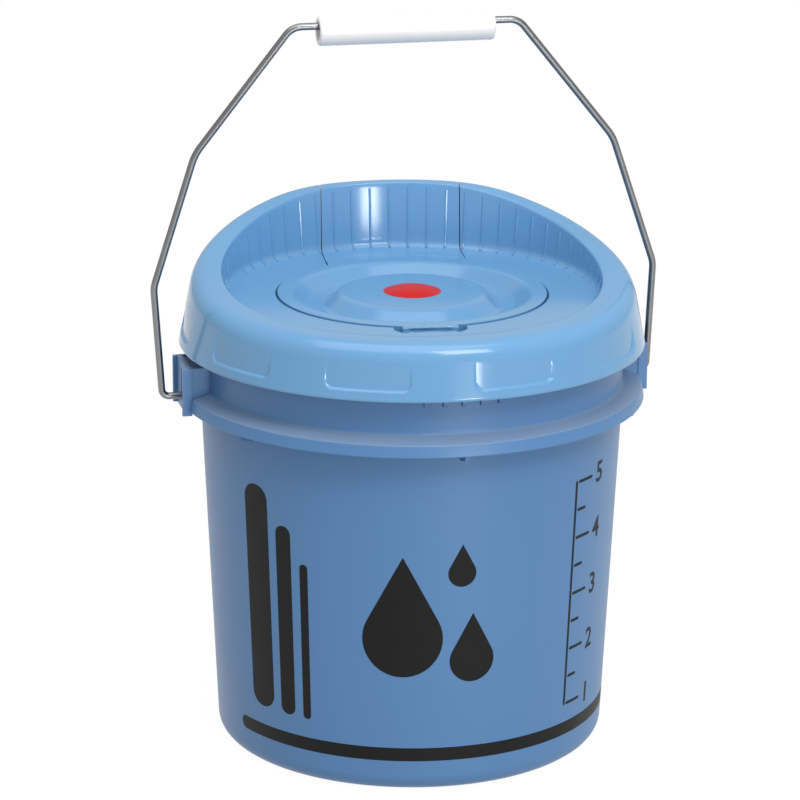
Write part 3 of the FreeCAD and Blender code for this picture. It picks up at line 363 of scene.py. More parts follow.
def shell_of(outer, inner):
    """Closed shell of two grids of the same layout, joined along their four edges."""
    points, faces = lofted(outer)
    height, width = len(outer), len(outer[0])
    count = len(points)
    points = points + [point for row in inner for point in row]
    faces = faces + [tuple(index + count for index in reversed(face)) for face in faces]
    border = list(range(width))
    border += [row * width + width - 1 for row in range(1, height)]
    border += [(height - 1) * width + column for column in range(width - 2, -1, -1)]
    border += [row * width for row in range(height - 2, 0, -1)]
    for start, end in zip(border, border[1:] + border[:1]):
        faces.append((end, start, start + count, end + count))
    return points, faces


def level(x, y, z):
    """Place of a level outline's point at a height."""
    return (x, y, z)


def facing_x(across, up, out):
    """Place of an upright outline's point, the outline facing X."""
    return (out, across, up)


def running_out(radius, height, aside):
    """Place of an upright outline's point, the outline running out along X."""
    return (radius, aside, height)


def prism(outline, start, end, place):
    """Solid between two offsets of a flat outline; place makes points of (across, up, offset)."""
    count = len(outline)
    points = [place(across, up, offset) for offset in (start, end) for across, up in outline]
    faces = [tuple(range(count - 1, -1, -1)), tuple(range(count, 2 * count))]
    for index in range(count):
        following = (index + 1) % count
        faces.append((index, following, following + count, index + count))
    return points, faces


def block(start, end):
    """Box between two opposite corners."""
    (near, left, low), (far, right, high) = start, end
    return prism([(near, left), (far, left), (far, right), (near, right)], low, high, level)


def merged(*shapes):
    """Several shapes' points and faces as one."""
    points, faces = [], []
    for more_points, more_faces in shapes:
        start = len(points)
        points += more_points
        faces += [tuple(index + start for index in face) for face in more_faces]
    return points, faces


def turned_about_z(shape, turn):
    """A shape turned about Z."""
    cos, sin = math.cos(turn), math.sin(turn)
    points, faces = shape
    return [(cos * x - sin * y, sin * x + cos * y, z) for x, y, z in points], faces


def make_object(name, shape, material, sharp=SHARP_ANGLE):
    """Object of a closed shape in millimetres: seams merged, faces outwards, smooth up to an
    angle in degrees."""
    points, faces = shape
    mesh = bpy.data.meshes.new(name)
    mesh.from_pydata([Vector(point) * MM for point in points], [], faces)
    clean = bmesh.new()
    clean.from_mesh(mesh)
    bmesh.ops.remove_doubles(clean, verts=clean.verts, dist=MERGE_DISTANCE * MM)
    bmesh.ops.dissolve_degenerate(clean, edges=clean.edges, dist=THIN_DISTANCE * MM)
    bmesh.ops.recalc_face_normals(clean, faces=clean.faces)
    clean.to_mesh(mesh)
    clean.free()
    mesh.shade_smooth()
    mesh.set_sharp_from_angle(angle=math.radians(sharp))
    mesh.materials.append(material)
    piece = bpy.data.objects.new(name, mesh)
    bpy.context.scene.collection.objects.link(piece)
    return piece


def settle(piece):
    """Turn a piece's modifiers into its plain mesh."""
    depsgraph = bpy.context.evaluated_depsgraph_get()
    mesh = bpy.data.meshes.new_from_object(piece.evaluated_get(depsgraph))
    mesh.name = piece.name
    piece.modifiers.clear()
    piece.data = mesh


def soften(piece, width, segments=2):
    """Round a piece's sharp edges by a width in millimetres."""
    bevel = piece.modifiers.new("Soft edges", "BEVEL")
    bevel.width = width * MM
    bevel.segments = segments
    bevel.limit_method = "ANGLE"
    bevel.angle_limit = math.radians(BEVEL_ANGLE)
    bevel.use_clamp_overlap = True
    even = piece.modifiers.new("Even shading", "WEIGHTED_NORMAL")
    even.keep_sharp = True
    settle(piece)


def set_on(piece, body, slot, *nodes):
    """Let a finished piece ride on a body and hide the CAD nodes that it stands for; slot is not
    used.
    """
    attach(piece, body)
    if nodes:
        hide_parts(*nodes)


def feed(tree, node, inputs):
    """Set a node's inputs, each to a value or to the output that feeds it."""
    for socket, given in inputs.items():
        if isinstance(given, bpy.types.NodeSocket):
            tree.links.new(given, node.inputs[socket])
        else:
            node.inputs[socket].default_value = given


def add_node(tree, kind, inputs=None, **settings):
    """Add a node with its settings and inputs."""
    node = tree.nodes.new(kind)
    for key, setting in settings.items():
        setattr(node, key, setting)
    feed(tree, node, inputs or {})
    return node


# ---------------------------------------------------------------- materials

PLASTIC_IOR = 1.49
CLOUD_DARK, CLOUD_LIGHT = 0.97, 1.03  # how far flow clouds shade a plastic
GLOSS_LOW, GLOSS_HIGH = 0.9, 1.1  # and how far they change its roughness
SKIN_STRENGTH = 0.16
# pale grey that faces looking up are mixed towards: a painted sheen of the room's light, with some
# dust
DUST_AND_SHEEN = "#C4C8CC"
SHEEN_START, SHEEN_FULL = 0.5, 0.95  # how far up a face looks for the painted sheen and dust to show on it
SHARE, FIRST, SECOND, MIXED = 0, 6, 7, 2  # a Mix node's inputs and output for colours


def start_material(name):
    """New node material: its tree, its shader and the object coordinates."""
    material = bpy.data.materials.new(name)
    material.use_nodes = True
    tree = material.node_tree
    tree.nodes.clear()
    shader = add_node(tree, "ShaderNodeBsdfPrincipled")
    add_node(tree, "ShaderNodeOutputMaterial", {"Surface": shader.outputs["BSDF"]})
    place = add_node(tree, "ShaderNodeTexCoord").outputs["Object"]
    return material, tree, shader, place


def shade(base, factor):
    """A linear colour made lighter or darker."""
    return tuple(min(1.0, channel * factor) for channel in base[:3]) + (1.0,)


def moulded_plastic(name, base, roughness, cloud_size, grain_size, grain_depth, dust_and_sheen=0.0,
                    more=None):
    """Injection-moulded plastic: even colour with faint flow clouds, the mould's fine skin, and
    a pale painted sheen with some dust on the faces that look up. More of the shader's inputs can
    be given by name."""
    material, tree, shader, place = start_material(name)
    cloud = add_node(tree, "ShaderNodeTexNoise", {
        "Vector": place, "Scale": 1 / (cloud_size * MM), "Detail": 3.0, "Roughness": 0.55})
    tint = add_node(tree, "ShaderNodeMix", {
        SHARE: cloud.outputs["Fac"], FIRST: shade(base, CLOUD_DARK),
        SECOND: shade(base, CLOUD_LIGHT)}, data_type="RGBA")
    # painted sheen: faces that look up are mixed towards pale grey in place of the room's light on
    # them, with some dust
    if dust_and_sheen:
        up = add_node(tree, "ShaderNodeSeparateXYZ", {"Vector": place.node.outputs["Normal"]})
        sheen_share = add_node(tree, "ShaderNodeMapRange", {
            "Value": up.outputs["Z"], "From Min": SHEEN_START, "From Max": SHEEN_FULL,
            "To Min": 0.0, "To Max": dust_and_sheen}, interpolation_type="SMOOTHSTEP")
        tint = add_node(tree, "ShaderNodeMix", {
            SHARE: sheen_share.outputs["Result"], FIRST: tint.outputs[MIXED],
            SECOND: linear(DUST_AND_SHEEN)}, data_type="RGBA")
    gloss = add_node(tree, "ShaderNodeMapRange", {
        "Value": cloud.outputs["Fac"], "To Min": roughness * GLOSS_LOW,
        "To Max": roughness * GLOSS_HIGH}, interpolation_type="SMOOTHSTEP")
    grain = add_node(tree, "ShaderNodeTexNoise", {
        "Vector": place, "Scale": 1 / (grain_size * MM), "Detail": 2.0, "Roughness": 0.5})
    skin = add_node(tree, "ShaderNodeBump", {
        "Height": grain.outputs["Fac"], "Strength": SKIN_STRENGTH, "Distance": grain_depth * MM})
    feed(tree, shader, {
        "Base Color": tint.outputs[MIXED], "Roughness": gloss.outputs["Result"],
        "Normal": skin.outputs["Normal"], "IOR": PLASTIC_IOR, **(more or {})})
    return material


def bucket_polypropylene(finish):
    """Moulded polypropylene with a satin skin: broad soft highlights, and a pale painted sheen with
    some dust on its ledges.
    """
    return moulded_plastic("bucket_polypropylene", finish.bucket, 0.4, 60, 2.2, 0.05, dust_and_sheen=0.28)


def lid_polypropylene(finish):
    """Moulded polypropylene from a polished mould: glossier and paler than the bucket."""
    return moulded_plastic("lid_polypropylene", finish.lid, 0.15, 55, 4.5, 0.02)


def grip_polyethylene(finish):
    """White polyethylene tube: waxy and smooth, with a little light passing under its skin."""
    return moulded_plastic("grip_polyethylene", finish.grip, 0.34, 30, 2.5, 0.03, more={
        "IOR": 1.52, "Subsurface Weight": 0.08, "Subsurface Radius": (0.002, 0.002, 0.002)})


def nozzle_polypropylene(finish):
    """Natural white polypropylene from a textured mould: matt, hardly any highlight."""
    return moulded_plastic("nozzle_polypropylene", finish.nozzle, 0.5, 20, 1.2, 0.04)


def stopper_elastomer(finish):
    """Moulded red thermoplastic elastomer: dull satin, with a very fine rubbery grain."""
    return moulded_plastic("stopper_elastomer", finish.dome, 0.36, 14, 0.8, 0.03, more={
        "IOR": 1.5, "Specular IOR Level": 0.2})


def screen_ink(finish):
    """Screen-printed ink on the bucket: near black, matt, a little uneven in its cover."""
    return moulded_plastic("screen_ink", finish.ink, 0.5, 9, 1.6, 0.03, more={
        "Specular IOR Level": 0.22})


def seal_rubber(finish):
    """Dark foamed rubber: dull, with closed pores about 0.6 mm wide."""
    material, tree, shader, place = start_material("seal_rubber")
    pores = add_node(tree, "ShaderNodeTexVoronoi", {"Vector": place, "Scale": 1 / (0.6 * MM)})
    tint = add_node(tree, "ShaderNodeMix", {
        SHARE: pores.outputs["Distance"], FIRST: shade(finish.rubber, 0.75),
        SECOND: shade(finish.rubber, 1.2)}, data_type="RGBA")
    dents = add_node(tree, "ShaderNodeBump", {
        "Height": pores.outputs["Distance"], "Strength": 0.5, "Distance": 0.15 * MM})
    feed(tree, shader, {
        "Base Color": tint.outputs[MIXED], "Normal": dents.outputs["Normal"], "Roughness": 0.82})
    return material


def galvanised_steel(finish):
    """Drawn and zinc-plated steel wire: grey metal, a little cloudy and gritty."""
    material, tree, shader, place = start_material("galvanised_steel")
    cloud = add_node(tree, "ShaderNodeTexNoise", {
        "Vector": place, "Scale": 1 / (7 * MM), "Detail": 4.0, "Roughness": 0.6})
    tint = add_node(tree, "ShaderNodeMix", {
        SHARE: cloud.outputs["Fac"], FIRST: shade(finish.wire, 0.86),
        SECOND: shade(finish.wire, 1.12)}, data_type="RGBA")
    gloss = add_node(tree, "ShaderNodeMapRange", {
        "Value": cloud.outputs["Fac"], "From Min": 0.3, "From Max": 0.7, "To Min": 0.28,
        "To Max": 0.36})
    grit = add_node(tree, "ShaderNodeTexNoise", {
        "Vector": place, "Scale": 1 / (0.8 * MM), "Detail": 2.0, "Roughness": 0.5})
    skin = add_node(tree, "ShaderNodeBump", {
        "Height": grit.outputs["Fac"], "Strength": 0.15, "Distance": 0.03 * MM})
    feed(tree, shader, {
        "Base Color": tint.outputs[MIXED], "Roughness": gloss.outputs["Result"],
        "Normal": skin.outputs["Normal"], "Metallic": 1.0})
    return material


def nonwoven_wipes(finish):
    """Rolled nonwoven cloth: soft white, embossed about every 3 mm, its fibres drawn coarser than
    real to show."""
    material, tree, shader, place = start_material("nonwoven_wipes")
    fibres = add_node(tree, "ShaderNodeTexNoise", {
        "Vector": place, "Scale": 1 / (1.4 * MM), "Detail": 4.0, "Roughness": 0.65})
    emboss = add_node(tree, "ShaderNodeTexVoronoi", {"Vector": place, "Scale": 1 / (3 * MM)})
    relief = add_node(tree, "ShaderNodeMath", {
        0: fibres.outputs["Fac"], 1: emboss.outputs["Distance"]}, operation="ADD")
    tint = add_node(tree, "ShaderNodeMix", {
        SHARE: fibres.outputs["Fac"], FIRST: shade(finish.wipes, 0.88),
        SECOND: shade(finish.wipes, 1.04)}, data_type="RGBA")
    nap = add_node(tree, "ShaderNodeBump", {
        "Height": relief.outputs["Value"], "Strength": 0.5, "Distance": 0.25 * MM})
    feed(tree, shader, {
        "Base Color": tint.outputs[MIXED], "Normal": nap.outputs["Normal"], "Roughness": 0.95,
        "Sheen Weight": 0.2})
    return material


MATERIALS = {
    "bucket": bucket_polypropylene,
    "lid": lid_polypropylene,
    "grip": grip_polyethylene,
    "nozzle": nozzle_polypropylene,
    "stopper": stopper_elastomer,
    "rubber": seal_rubber,
    "steel": galvanised_steel,
    "wipes": nonwoven_wipes,
    "ink": screen_ink,
}


def material_of(key):
    """The material of that key, made once."""
    made = bpy.data.materials.get(MATERIALS[key].__name__)
    return made or MATERIALS[key](bpy.context.scene.dispenser_finishes)


# ---------------------------------------------------------------- Geometry Nodes

BEND_STEPS = 14  # points on a bend of the wire


def start_tree(name, sizes):
    """New Geometry Nodes tree with a geometry input, named size inputs and a material input."""
    tree = bpy.data.node_groups.new(name, "GeometryNodeTree")
    tree.is_modifier = True
    inputs = [("Geometry", "NodeSocketGeometry"), *sizes, ("Material", "NodeSocketMaterial")]
    for label, kind in inputs:
        tree.interface.new_socket(label, in_out="INPUT", socket_type=kind)
    tree.interface.new_socket("Geometry", in_out="OUTPUT", socket_type="NodeSocketGeometry")
    return tree, add_node(tree, "NodeGroupInput")


def end_tree(tree, geometry, material):
    """Realise what the tree made and give it its material."""
    real = add_node(tree, "GeometryNodeRealizeInstances", {"Geometry": geometry})
    painted = add_node(tree, "GeometryNodeSetMaterial", {
        "Geometry": real.outputs["Geometry"], "Material": material})
    add_node(tree, "NodeGroupOutput", {0: painted.outputs["Geometry"]})


def round_the_axis():
    """Tree that repeats a shape about Z."""
    tree, given = start_tree("round_the_axis", [
        ("Count", "NodeSocketInt"), ("Step", "NodeSocketFloat"), ("Start", "NodeSocketFloat")])
    spots = add_node(tree, "GeometryNodePoints", {"Count": given.outputs["Count"]})
    index = add_node(tree, "GeometryNodeInputIndex")
    turn = add_node(tree, "ShaderNodeMath", {
        0: index.outputs["Index"], 1: given.outputs["Step"], 2: given.outputs["Start"]},
        operation="MULTIPLY_ADD")
    around = add_node(tree, "ShaderNodeCombineXYZ", {"Z": turn.outputs["Value"]})
    copies = add_node(tree, "GeometryNodeInstanceOnPoints", {
        "Points": spots.outputs["Points"], "Instance": given.outputs["Geometry"],
        "Rotation": around.outputs["Vector"]})
    end_tree(tree, copies.outputs["Instances"], given.outputs["Material"])
    return tree


def along_paths():
    """Tree that runs a round rod along a mesh's edges, its corners bent by their own radius."""
    tree, given = start_tree("along_paths", [
        ("Radius", "NodeSocketFloat"), ("Sides", "NodeSocketInt")])
    path = add_node(tree, "GeometryNodeMeshToCurve", {"Mesh": given.outputs["Geometry"]})
    bend = add_node(tree, "GeometryNodeInputNamedAttribute", {"Name": "bend"}, data_type="FLOAT")
    bent = add_node(tree, "GeometryNodeFilletCurve", {
        "Curve": path.outputs["Curve"], "Radius": bend.outputs["Attribute"], "Limit Radius": True,
        "Count": BEND_STEPS}, mode="POLY")
    section = add_node(tree, "GeometryNodeCurvePrimitiveCircle", {
        "Radius": given.outputs["Radius"], "Resolution": given.outputs["Sides"]})
    swept = add_node(tree, "GeometryNodeCurveToMesh", {
        "Curve": bent.outputs["Curve"], "Profile Curve": section.outputs["Curve"],
        "Fill Caps": True})
    smooth = add_node(tree, "GeometryNodeSetShadeSmooth", {"Geometry": swept.outputs["Mesh"]})
    end_tree(tree, smooth.outputs["Geometry"], given.outputs["Material"])
    return tree


def grow(piece, make_tree, material, **sizes):
    """Run a tree on a piece with its named inputs and keep the result as a plain mesh."""
    tree = bpy.data.node_groups.get(make_tree.__name__) or make_tree()
    grown = piece.modifiers.new(tree.name, "NODES")
    grown.node_group = tree
    values = {"Material": material, **sizes}
    for item in tree.interface.items_tree:
        if item.in_out == "INPUT" and item.name in values:
            grown[item.identifier] = values[item.name]
    settle(piece)
    piece.data.set_sharp_from_angle(angle=math.radians(SHARP_ANGLE))


def make_paths(name, lines, bends=None):
    """Object of bare paths in millimetres, with a bend radius at each point."""
    points = [Vector(point) * MM for line in lines for point in line]
    edges, start = [], 0
    for line in lines:
        edges += [(start + index, start + index + 1) for index in range(len(line) - 1)]
        start += len(line)
    mesh = bpy.data.meshes.new(name)
    mesh.from_pydata(points, edges, [])
    radii = mesh.attributes.new("bend", "FLOAT", "POINT")
    radii.data.foreach_set("value", [bend * MM for bend in bends or [0.0] * len(points)])
    piece = bpy.data.objects.new(name, mesh)
    bpy.context.scene.collection.objects.link(piece)
    return piece


# ---------------------------------------------------------------- bucket

FRONT = -math.pi / 2
FOOT_INSET = 6.0
FOOT_RECESS = 0.8
# The ear's columns, sunk plate, webs and top end a little apart, so that no two of their faces lie
# in one plane.
EAR_COLUMN = 4.8
EAR_SUNK = 2.0
EAR_ROOT = 1.4
COLUMN_INSET, COLUMN_FOOT, COLUMN_HEAD = 0.08, 0.1, 0.3
WEB_INSET, WEB_FOOT, WEB_HEAD = 0.7, 1.0, 0.1
TOP_INSET, TOP_BACK, TOP_LOW, TOP_HIGH = 1.2, 0.6, 3.2, 1.0
KEYHOLE_WIDTH = 2.6
KEYHOLE_RISE = 13.0
GUSSET_ROOT = 1.0


def filled(curve):
    """Points and faces of a filled curve, which is used up."""
    holder = bpy.data.objects.new(curve.name, curve)
    mesh = bpy.data.meshes.new_from_object(holder)
    points = [tuple(vert.co) for vert in mesh.vertices]
    faces = [tuple(face.vertices) for face in mesh.polygons]
    bpy.data.objects.remove(holder)
    bpy.data.meshes.remove(mesh)
    bpy.data.curves.remove(curve)
    return points, faces


def flat_plate(outlines, start, end, place):
    """Plate of a flat outline with holes, as points and faces; the first outline is the edge."""
    curve = bpy.data.curves.new("plate", "CURVE")
    curve.dimensions = "2D"
    curve.fill_mode = "BOTH"
    curve.extrude = abs(end - start) / 2
    for outline in outlines:
        spline = curve.splines.new("POLY")
        spline.points.add(len(outline) - 1)
        spline.use_cyclic_u = True
        for point, (across, up) in zip(spline.points, outline):
            point.co = (across, up, 0, 1)
    points, faces = filled(curve)
    middle = (start + end) / 2
    return [place(across, up, offset + middle) for across, up, offset in points], faces


def bucket_outline(s):
    """Section of floor, wall, flange and neck, from the axis below to the axis above the floor."""
    foot = s.base_radius - s.base_round - FOOT_INSET
    flange = s.neck_radius + s.flange_reach
    lip_top = s.flange_low + s.flange_lip
    ledge = s.flange_low + s.flange_rise
    bore = s.neck_radius - s.wall
    return rounded([
        (0, FOOT_RECESS),
        (foot - 1, FOOT_RECESS, 0.5),
        (foot, 0, 0.5),
        (s.base_radius, 0, s.base_round),
        (s.neck_radius, s.flange_low),
        (s.neck_radius, ledge - s.flange_wall, 1.0),
        (flange - s.flange_lean - s.flange_wall, lip_top - s.flange_wall, 0.8),
        (flange - s.flange_wall, s.flange_low, 0.6),
        (flange, s.flange_low, 0.7),
        (flange - s.flange_lean, lip_top, 1.2),
        (s.neck_radius, ledge, 2.2),
        (s.neck_radius, s.height, 0.9),
        (bore, s.height, 0.9),
        (bore, s.flange_low),
        (s.base_radius - s.wall, s.floor, s.base_round - s.wall),
        (0, s.floor),
    ])


def ear_shape(s):
    """Bail ear on the +X side: a sunk plate with a keyhole, a column at each edge, and webs and a
    top that run to the neck."""
    face = s.neck_radius + s.flange_reach + s.ear_stand
    sunk, root = face - EAR_SUNK, s.neck_radius - EAR_ROOT
    half = s.ear_width / 2
    low, high = s.flange_low - s.ear_low, s.flange_low + s.ear_high
    pivot = s.flange_low + s.pivot_rise
    edge = rounded([(-half, low, s.ear_round), (half, low, s.ear_round), (half, high, 1.2),
                    (-half, high, 1.2)], closed=True, steps=5, guard=9)
    opening = math.asin(KEYHOLE_WIDTH / 2 / s.pivot_bore)
    keyhole = arc((0, pivot), s.pivot_bore, TURN / 4 + opening, TURN * 5 / 4 - opening, 22)
    keyhole += arc((0, pivot + KEYHOLE_RISE), KEYHOLE_WIDTH / 2, 0, math.pi, 8)
    parts = [flat_plate([edge, keyhole], sunk - s.ear_wall, sunk, facing_x)]
    for side in (-1, 1):
        outer, inner = side * (half - COLUMN_INSET), side * (half - s.ear_wall)
        parts.append(block((face - EAR_COLUMN, outer, low + COLUMN_FOOT),
                           (face, inner, high - COLUMN_HEAD)))
        parts.append(block((root, side * (half - WEB_INSET), s.flange_low + WEB_FOOT),
                           (sunk, inner, high - WEB_HEAD)))
    span = half - TOP_INSET
    parts.append(block((root, -span, high - TOP_LOW), (sunk - TOP_BACK, span, high - TOP_HIGH)))
    return merged(*parts)


def tooth_shape(s):
    """One tooth on the +X side of the neck."""
    top = s.height - s.tooth_drop
    low = top - s.tooth_height
    root, end = s.neck_radius - s.wall / 2, s.neck_radius + s.tooth_reach
    outline = rounded([(root, low), (end, low, 0.8), (end, top, 0.5), (root, top)],
                      closed=True, steps=3, guard=NO_GUARD)
    return prism(outline, -s.tooth_width / 2, s.tooth_width / 2, running_out)


def gusset_shape(s):
    """One rib under the flange, on the +X side."""
    ledge = s.flange_low + s.flange_rise - s.flange_wall / 2
    lip_top = s.flange_low + s.flange_lip - s.flange_wall / 2
    root = s.neck_radius - GUSSET_ROOT
    end = s.neck_radius + s.flange_reach - s.flange_lean - s.flange_wall / 2
    outline = [(root, ledge), (end, lip_top), (end, s.flange_low - s.gusset_drop / 2),
               (root, s.flange_low - s.gusset_drop)]
    return prism(outline, -s.gusset_thick / 2, s.gusset_thick / 2, running_out)


class DISPENSER_OT_bucket(bpy.types.Operator):
    """Build the bucket with its flange, ears, teeth and gussets"""
    bl_idname = "dispenser.bucket"
    bl_label = "Bucket"

    def execute(self, context):
        s = in_millimetres(context.scene.dispenser_bucket)
        plastic = material_of("bucket")
        pail = make_object("bucket_pail", lathe(bucket_outline(s), columns=224), plastic)
        ear = ear_shape(s)
        ears = make_object("bucket_ears", merged(ear, turned_about_z(ear, math.pi)), plastic)
        soften(ears, 0.35)
        set_on(pail, "bucket", "bucket_plastic", "bucket", "bucket_floor", "bucket_flange")
        set_on(ears, "bucket", "bucket_plastic")
        teeth = make_object("bucket_teeth", tooth_shape(s), plastic)
        grow(teeth, round_the_axis, plastic, Count=s.tooth_count, Step=s.tooth_step,
             Start=FRONT - s.tooth_step * (s.tooth_count - 1) / 2)
        gussets = make_object("bucket_gussets", gusset_shape(s), plastic)
        grow(gussets, round_the_axis, plastic, Count=s.gusset_count,
             Step=TURN / s.gusset_count, Start=FRONT)
        for piece in (teeth, gussets):
            set_on(piece, "bucket", "bucket_plastic")
        return {"FINISHED"}


# ---------------------------------------------------------------- print on the bucket

INK_PROUD = 0.06
INK_SUNK = 0.2
INK_STRIP = 2.5
INK_LINE = 1.6
LINE_ROUND = 0.7
BARS = [
    # left, low, right, high, rounding, in mm along the wall from its front
    (-116, 34, -100, 152, 8), (-95, 34, -86, 134, 4.5), (-81, 34, -76.5, 116, 2.2),
    (-128, 17, 128, 24, 3.5),
]
DROPS = [
    # across, up, radius
    (-28, 82, 20), (7, 70, 11.5), (1, 116, 7),
]
DROP_TIP = 2.15
SCALE_PLACE, SCALE_FOOT, SCALE_STEP, SCALE_NUMBERS = 66, 34, 29.5, 5
MARK_START, MARK_LONG, MARK_SHORT = 2.4, 12, 7
NUMERAL_START, NUMERAL_SIZE, NUMERAL_BOLD = 18, 15, 0.018


def bar(left, low, right, high, corner):
    """Upright or level bar with rounded ends."""
    return rounded([(left, low, corner), (right, low, corner), (right, high, corner),
                    (left, high, corner)], closed=True, guard=NO_GUARD)


def droplet(across, up, radius):
    """Drop of liquid: a round belly and a tip straight above it."""
    opening = math.acos(1 / DROP_TIP)
    belly = arc((across, up), radius, TURN / 4 + opening, TURN * 5 / 4 - opening, 28)
    return [(across, up + DROP_TIP * radius)] + belly


def scale_lines():
    """Fill scale: an upright line with a long mark at each number and a short one between."""
    half, start = INK_LINE / 2, SCALE_PLACE + MARK_START
    top = SCALE_FOOT + (SCALE_NUMBERS - 1) * SCALE_STEP
    lines = [bar(SCALE_PLACE, SCALE_FOOT - half, SCALE_PLACE + INK_LINE, top + half, LINE_ROUND)]
    for step in range(2 * SCALE_NUMBERS - 1):
        mark = SCALE_FOOT + step * SCALE_STEP / 2
        end = start + (MARK_SHORT if step % 2 else MARK_LONG)
        lines.append(bar(start, mark - half, end, mark + half, LINE_ROUND))
    return lines


def numeral(text, across, up):
    """Filled numeral, as points and faces in a plane."""
    curve = bpy.data.curves.new("numeral", "FONT")
    curve.body = text
    curve.size = NUMERAL_SIZE
    curve.align_x = "LEFT"
    curve.align_y = "CENTER"
    curve.offset = NUMERAL_SIZE * NUMERAL_BOLD
    points, faces = filled(curve)
    return [(x + across, y + up) for x, y, _ in points], faces


def wrapped(flat_shapes, s):
    """Thin shell on the bucket's wall from flat shapes of (along the wall, up) points and faces."""
    middle = (s.base_radius + s.neck_radius) / 2
    sheet = bmesh.new()
    for points, faces in flat_shapes:
        corners = [sheet.verts.new((across, up, 0)) for across, up in points]
        for face in faces:
            sheet.faces.new([corners[index] for index in face])
    bmesh.ops.remove_doubles(sheet, verts=sheet.verts, dist=0.001)
    reach = max(abs(vert.co.x) for vert in sheet.verts)
    cut = -math.floor(reach / INK_STRIP) * INK_STRIP
    while cut < reach:
        everything = sheet.verts[:] + sheet.edges[:] + sheet.faces[:]
        bmesh.ops.bisect_plane(sheet, geom=everything, plane_co=(cut, 0, 0), plane_no=(1, 0, 0),
                               dist=1e-5)
        cut += INK_STRIP
    bmesh.ops.triangulate(sheet, faces=[face for face in sheet.faces if len(face.verts) > 4])
    sheet.verts.index_update()
    count = len(sheet.verts)
    points = []
    for proud in (INK_PROUD, -INK_SUNK):
        for vert in sheet.verts:
            radius = mix(s.base_radius, s.neck_radius, vert.co.y / s.flange_low) + proud
            turn = vert.co.x / middle
            points.append((radius * math.sin(turn), -radius * math.cos(turn), vert.co.y))
    faces = []
    for face in sheet.faces:
        around = [vert.index for vert in face.verts]
        faces.append(tuple(around))
        faces.append(tuple(index + count for index in reversed(around)))
    for edge in sheet.edges:
        if len(edge.link_faces) == 1:
            start, end = (vert.index for vert in edge.verts)
            faces.append((start, end, end + count, start + count))
    sheet.free()
    return points, faces


class DISPENSER_OT_print(bpy.types.Operator):
    """Print plain stripes, drops and a fill scale on the bucket"""
    bl_idname = "dispenser.print"
    bl_label = "Print"

    def execute(self, context):
        s = in_millimetres(context.scene.dispenser_bucket)
        outlines = [bar(*sides) for sides in BARS] + [droplet(*drop) for drop in DROPS]
        outlines += scale_lines()
        flat = [(outline, [tuple(range(len(outline)))]) for outline in outlines]
        for step in range(SCALE_NUMBERS):
            flat.append(numeral(str(step + 1), SCALE_PLACE + NUMERAL_START,
                                SCALE_FOOT + step * SCALE_STEP))
        ink = make_object("bucket_print", wrapped(flat, s), material_of("ink"))
        set_on(ink, "bucket", "bucket_plastic")
        return {"FINISHED"}


# ---------------------------------------------------------------- section that lid and tail share

EDGE = 0.45  # fine step across the edge of a panel
SHELL = 2.3  # thickness of the dished floor as drawn
FACE_APART = 0.06  # keeps two faces from lying in one plane
RIM_STEPS = {"rise": 4, "shoulder": 9, "top": 3, "crest": 4, "wall": 22}
WALL_CROWDING = 1.25  # crowds the wall's rows towards the floor
BACK_BLEND = 3.0  # run of the rounding between the climb and the level back
FIT_ROUNDS = 9  # rounds of fitting the rim to the scoop
SOFT_SHARE, CRISP_SHARE = 0.6, 0.35  # most that the roundings take of the rim's top
LEAST_ROUND, LEAST_RUN = 0.6, 1.0  # what stays of roundings and runs inside the plastic
SEAM_START = math.radians(120)  # from here the columns turn towards the slot for the tail
SEAM_ROUNDS = 4  # rounds of fitting the columns to the slot


def soft_min(a, b, reach):
    """Lesser of two numbers, rounded where they meet."""
    h = max(reach - abs(a - b), 0) / reach
    return min(a, b) - h * h * reach / 4


def round_box(x, y, half_x, half_y, corner):
    """Distance outside a box with rounded corners, less than 0 inside it."""
    across, up = abs(x) - half_x + corner, abs(y) - half_y + corner
    return math.hypot(max(across, 0), max(up, 0)) + min(max(across, up), 0) - corner


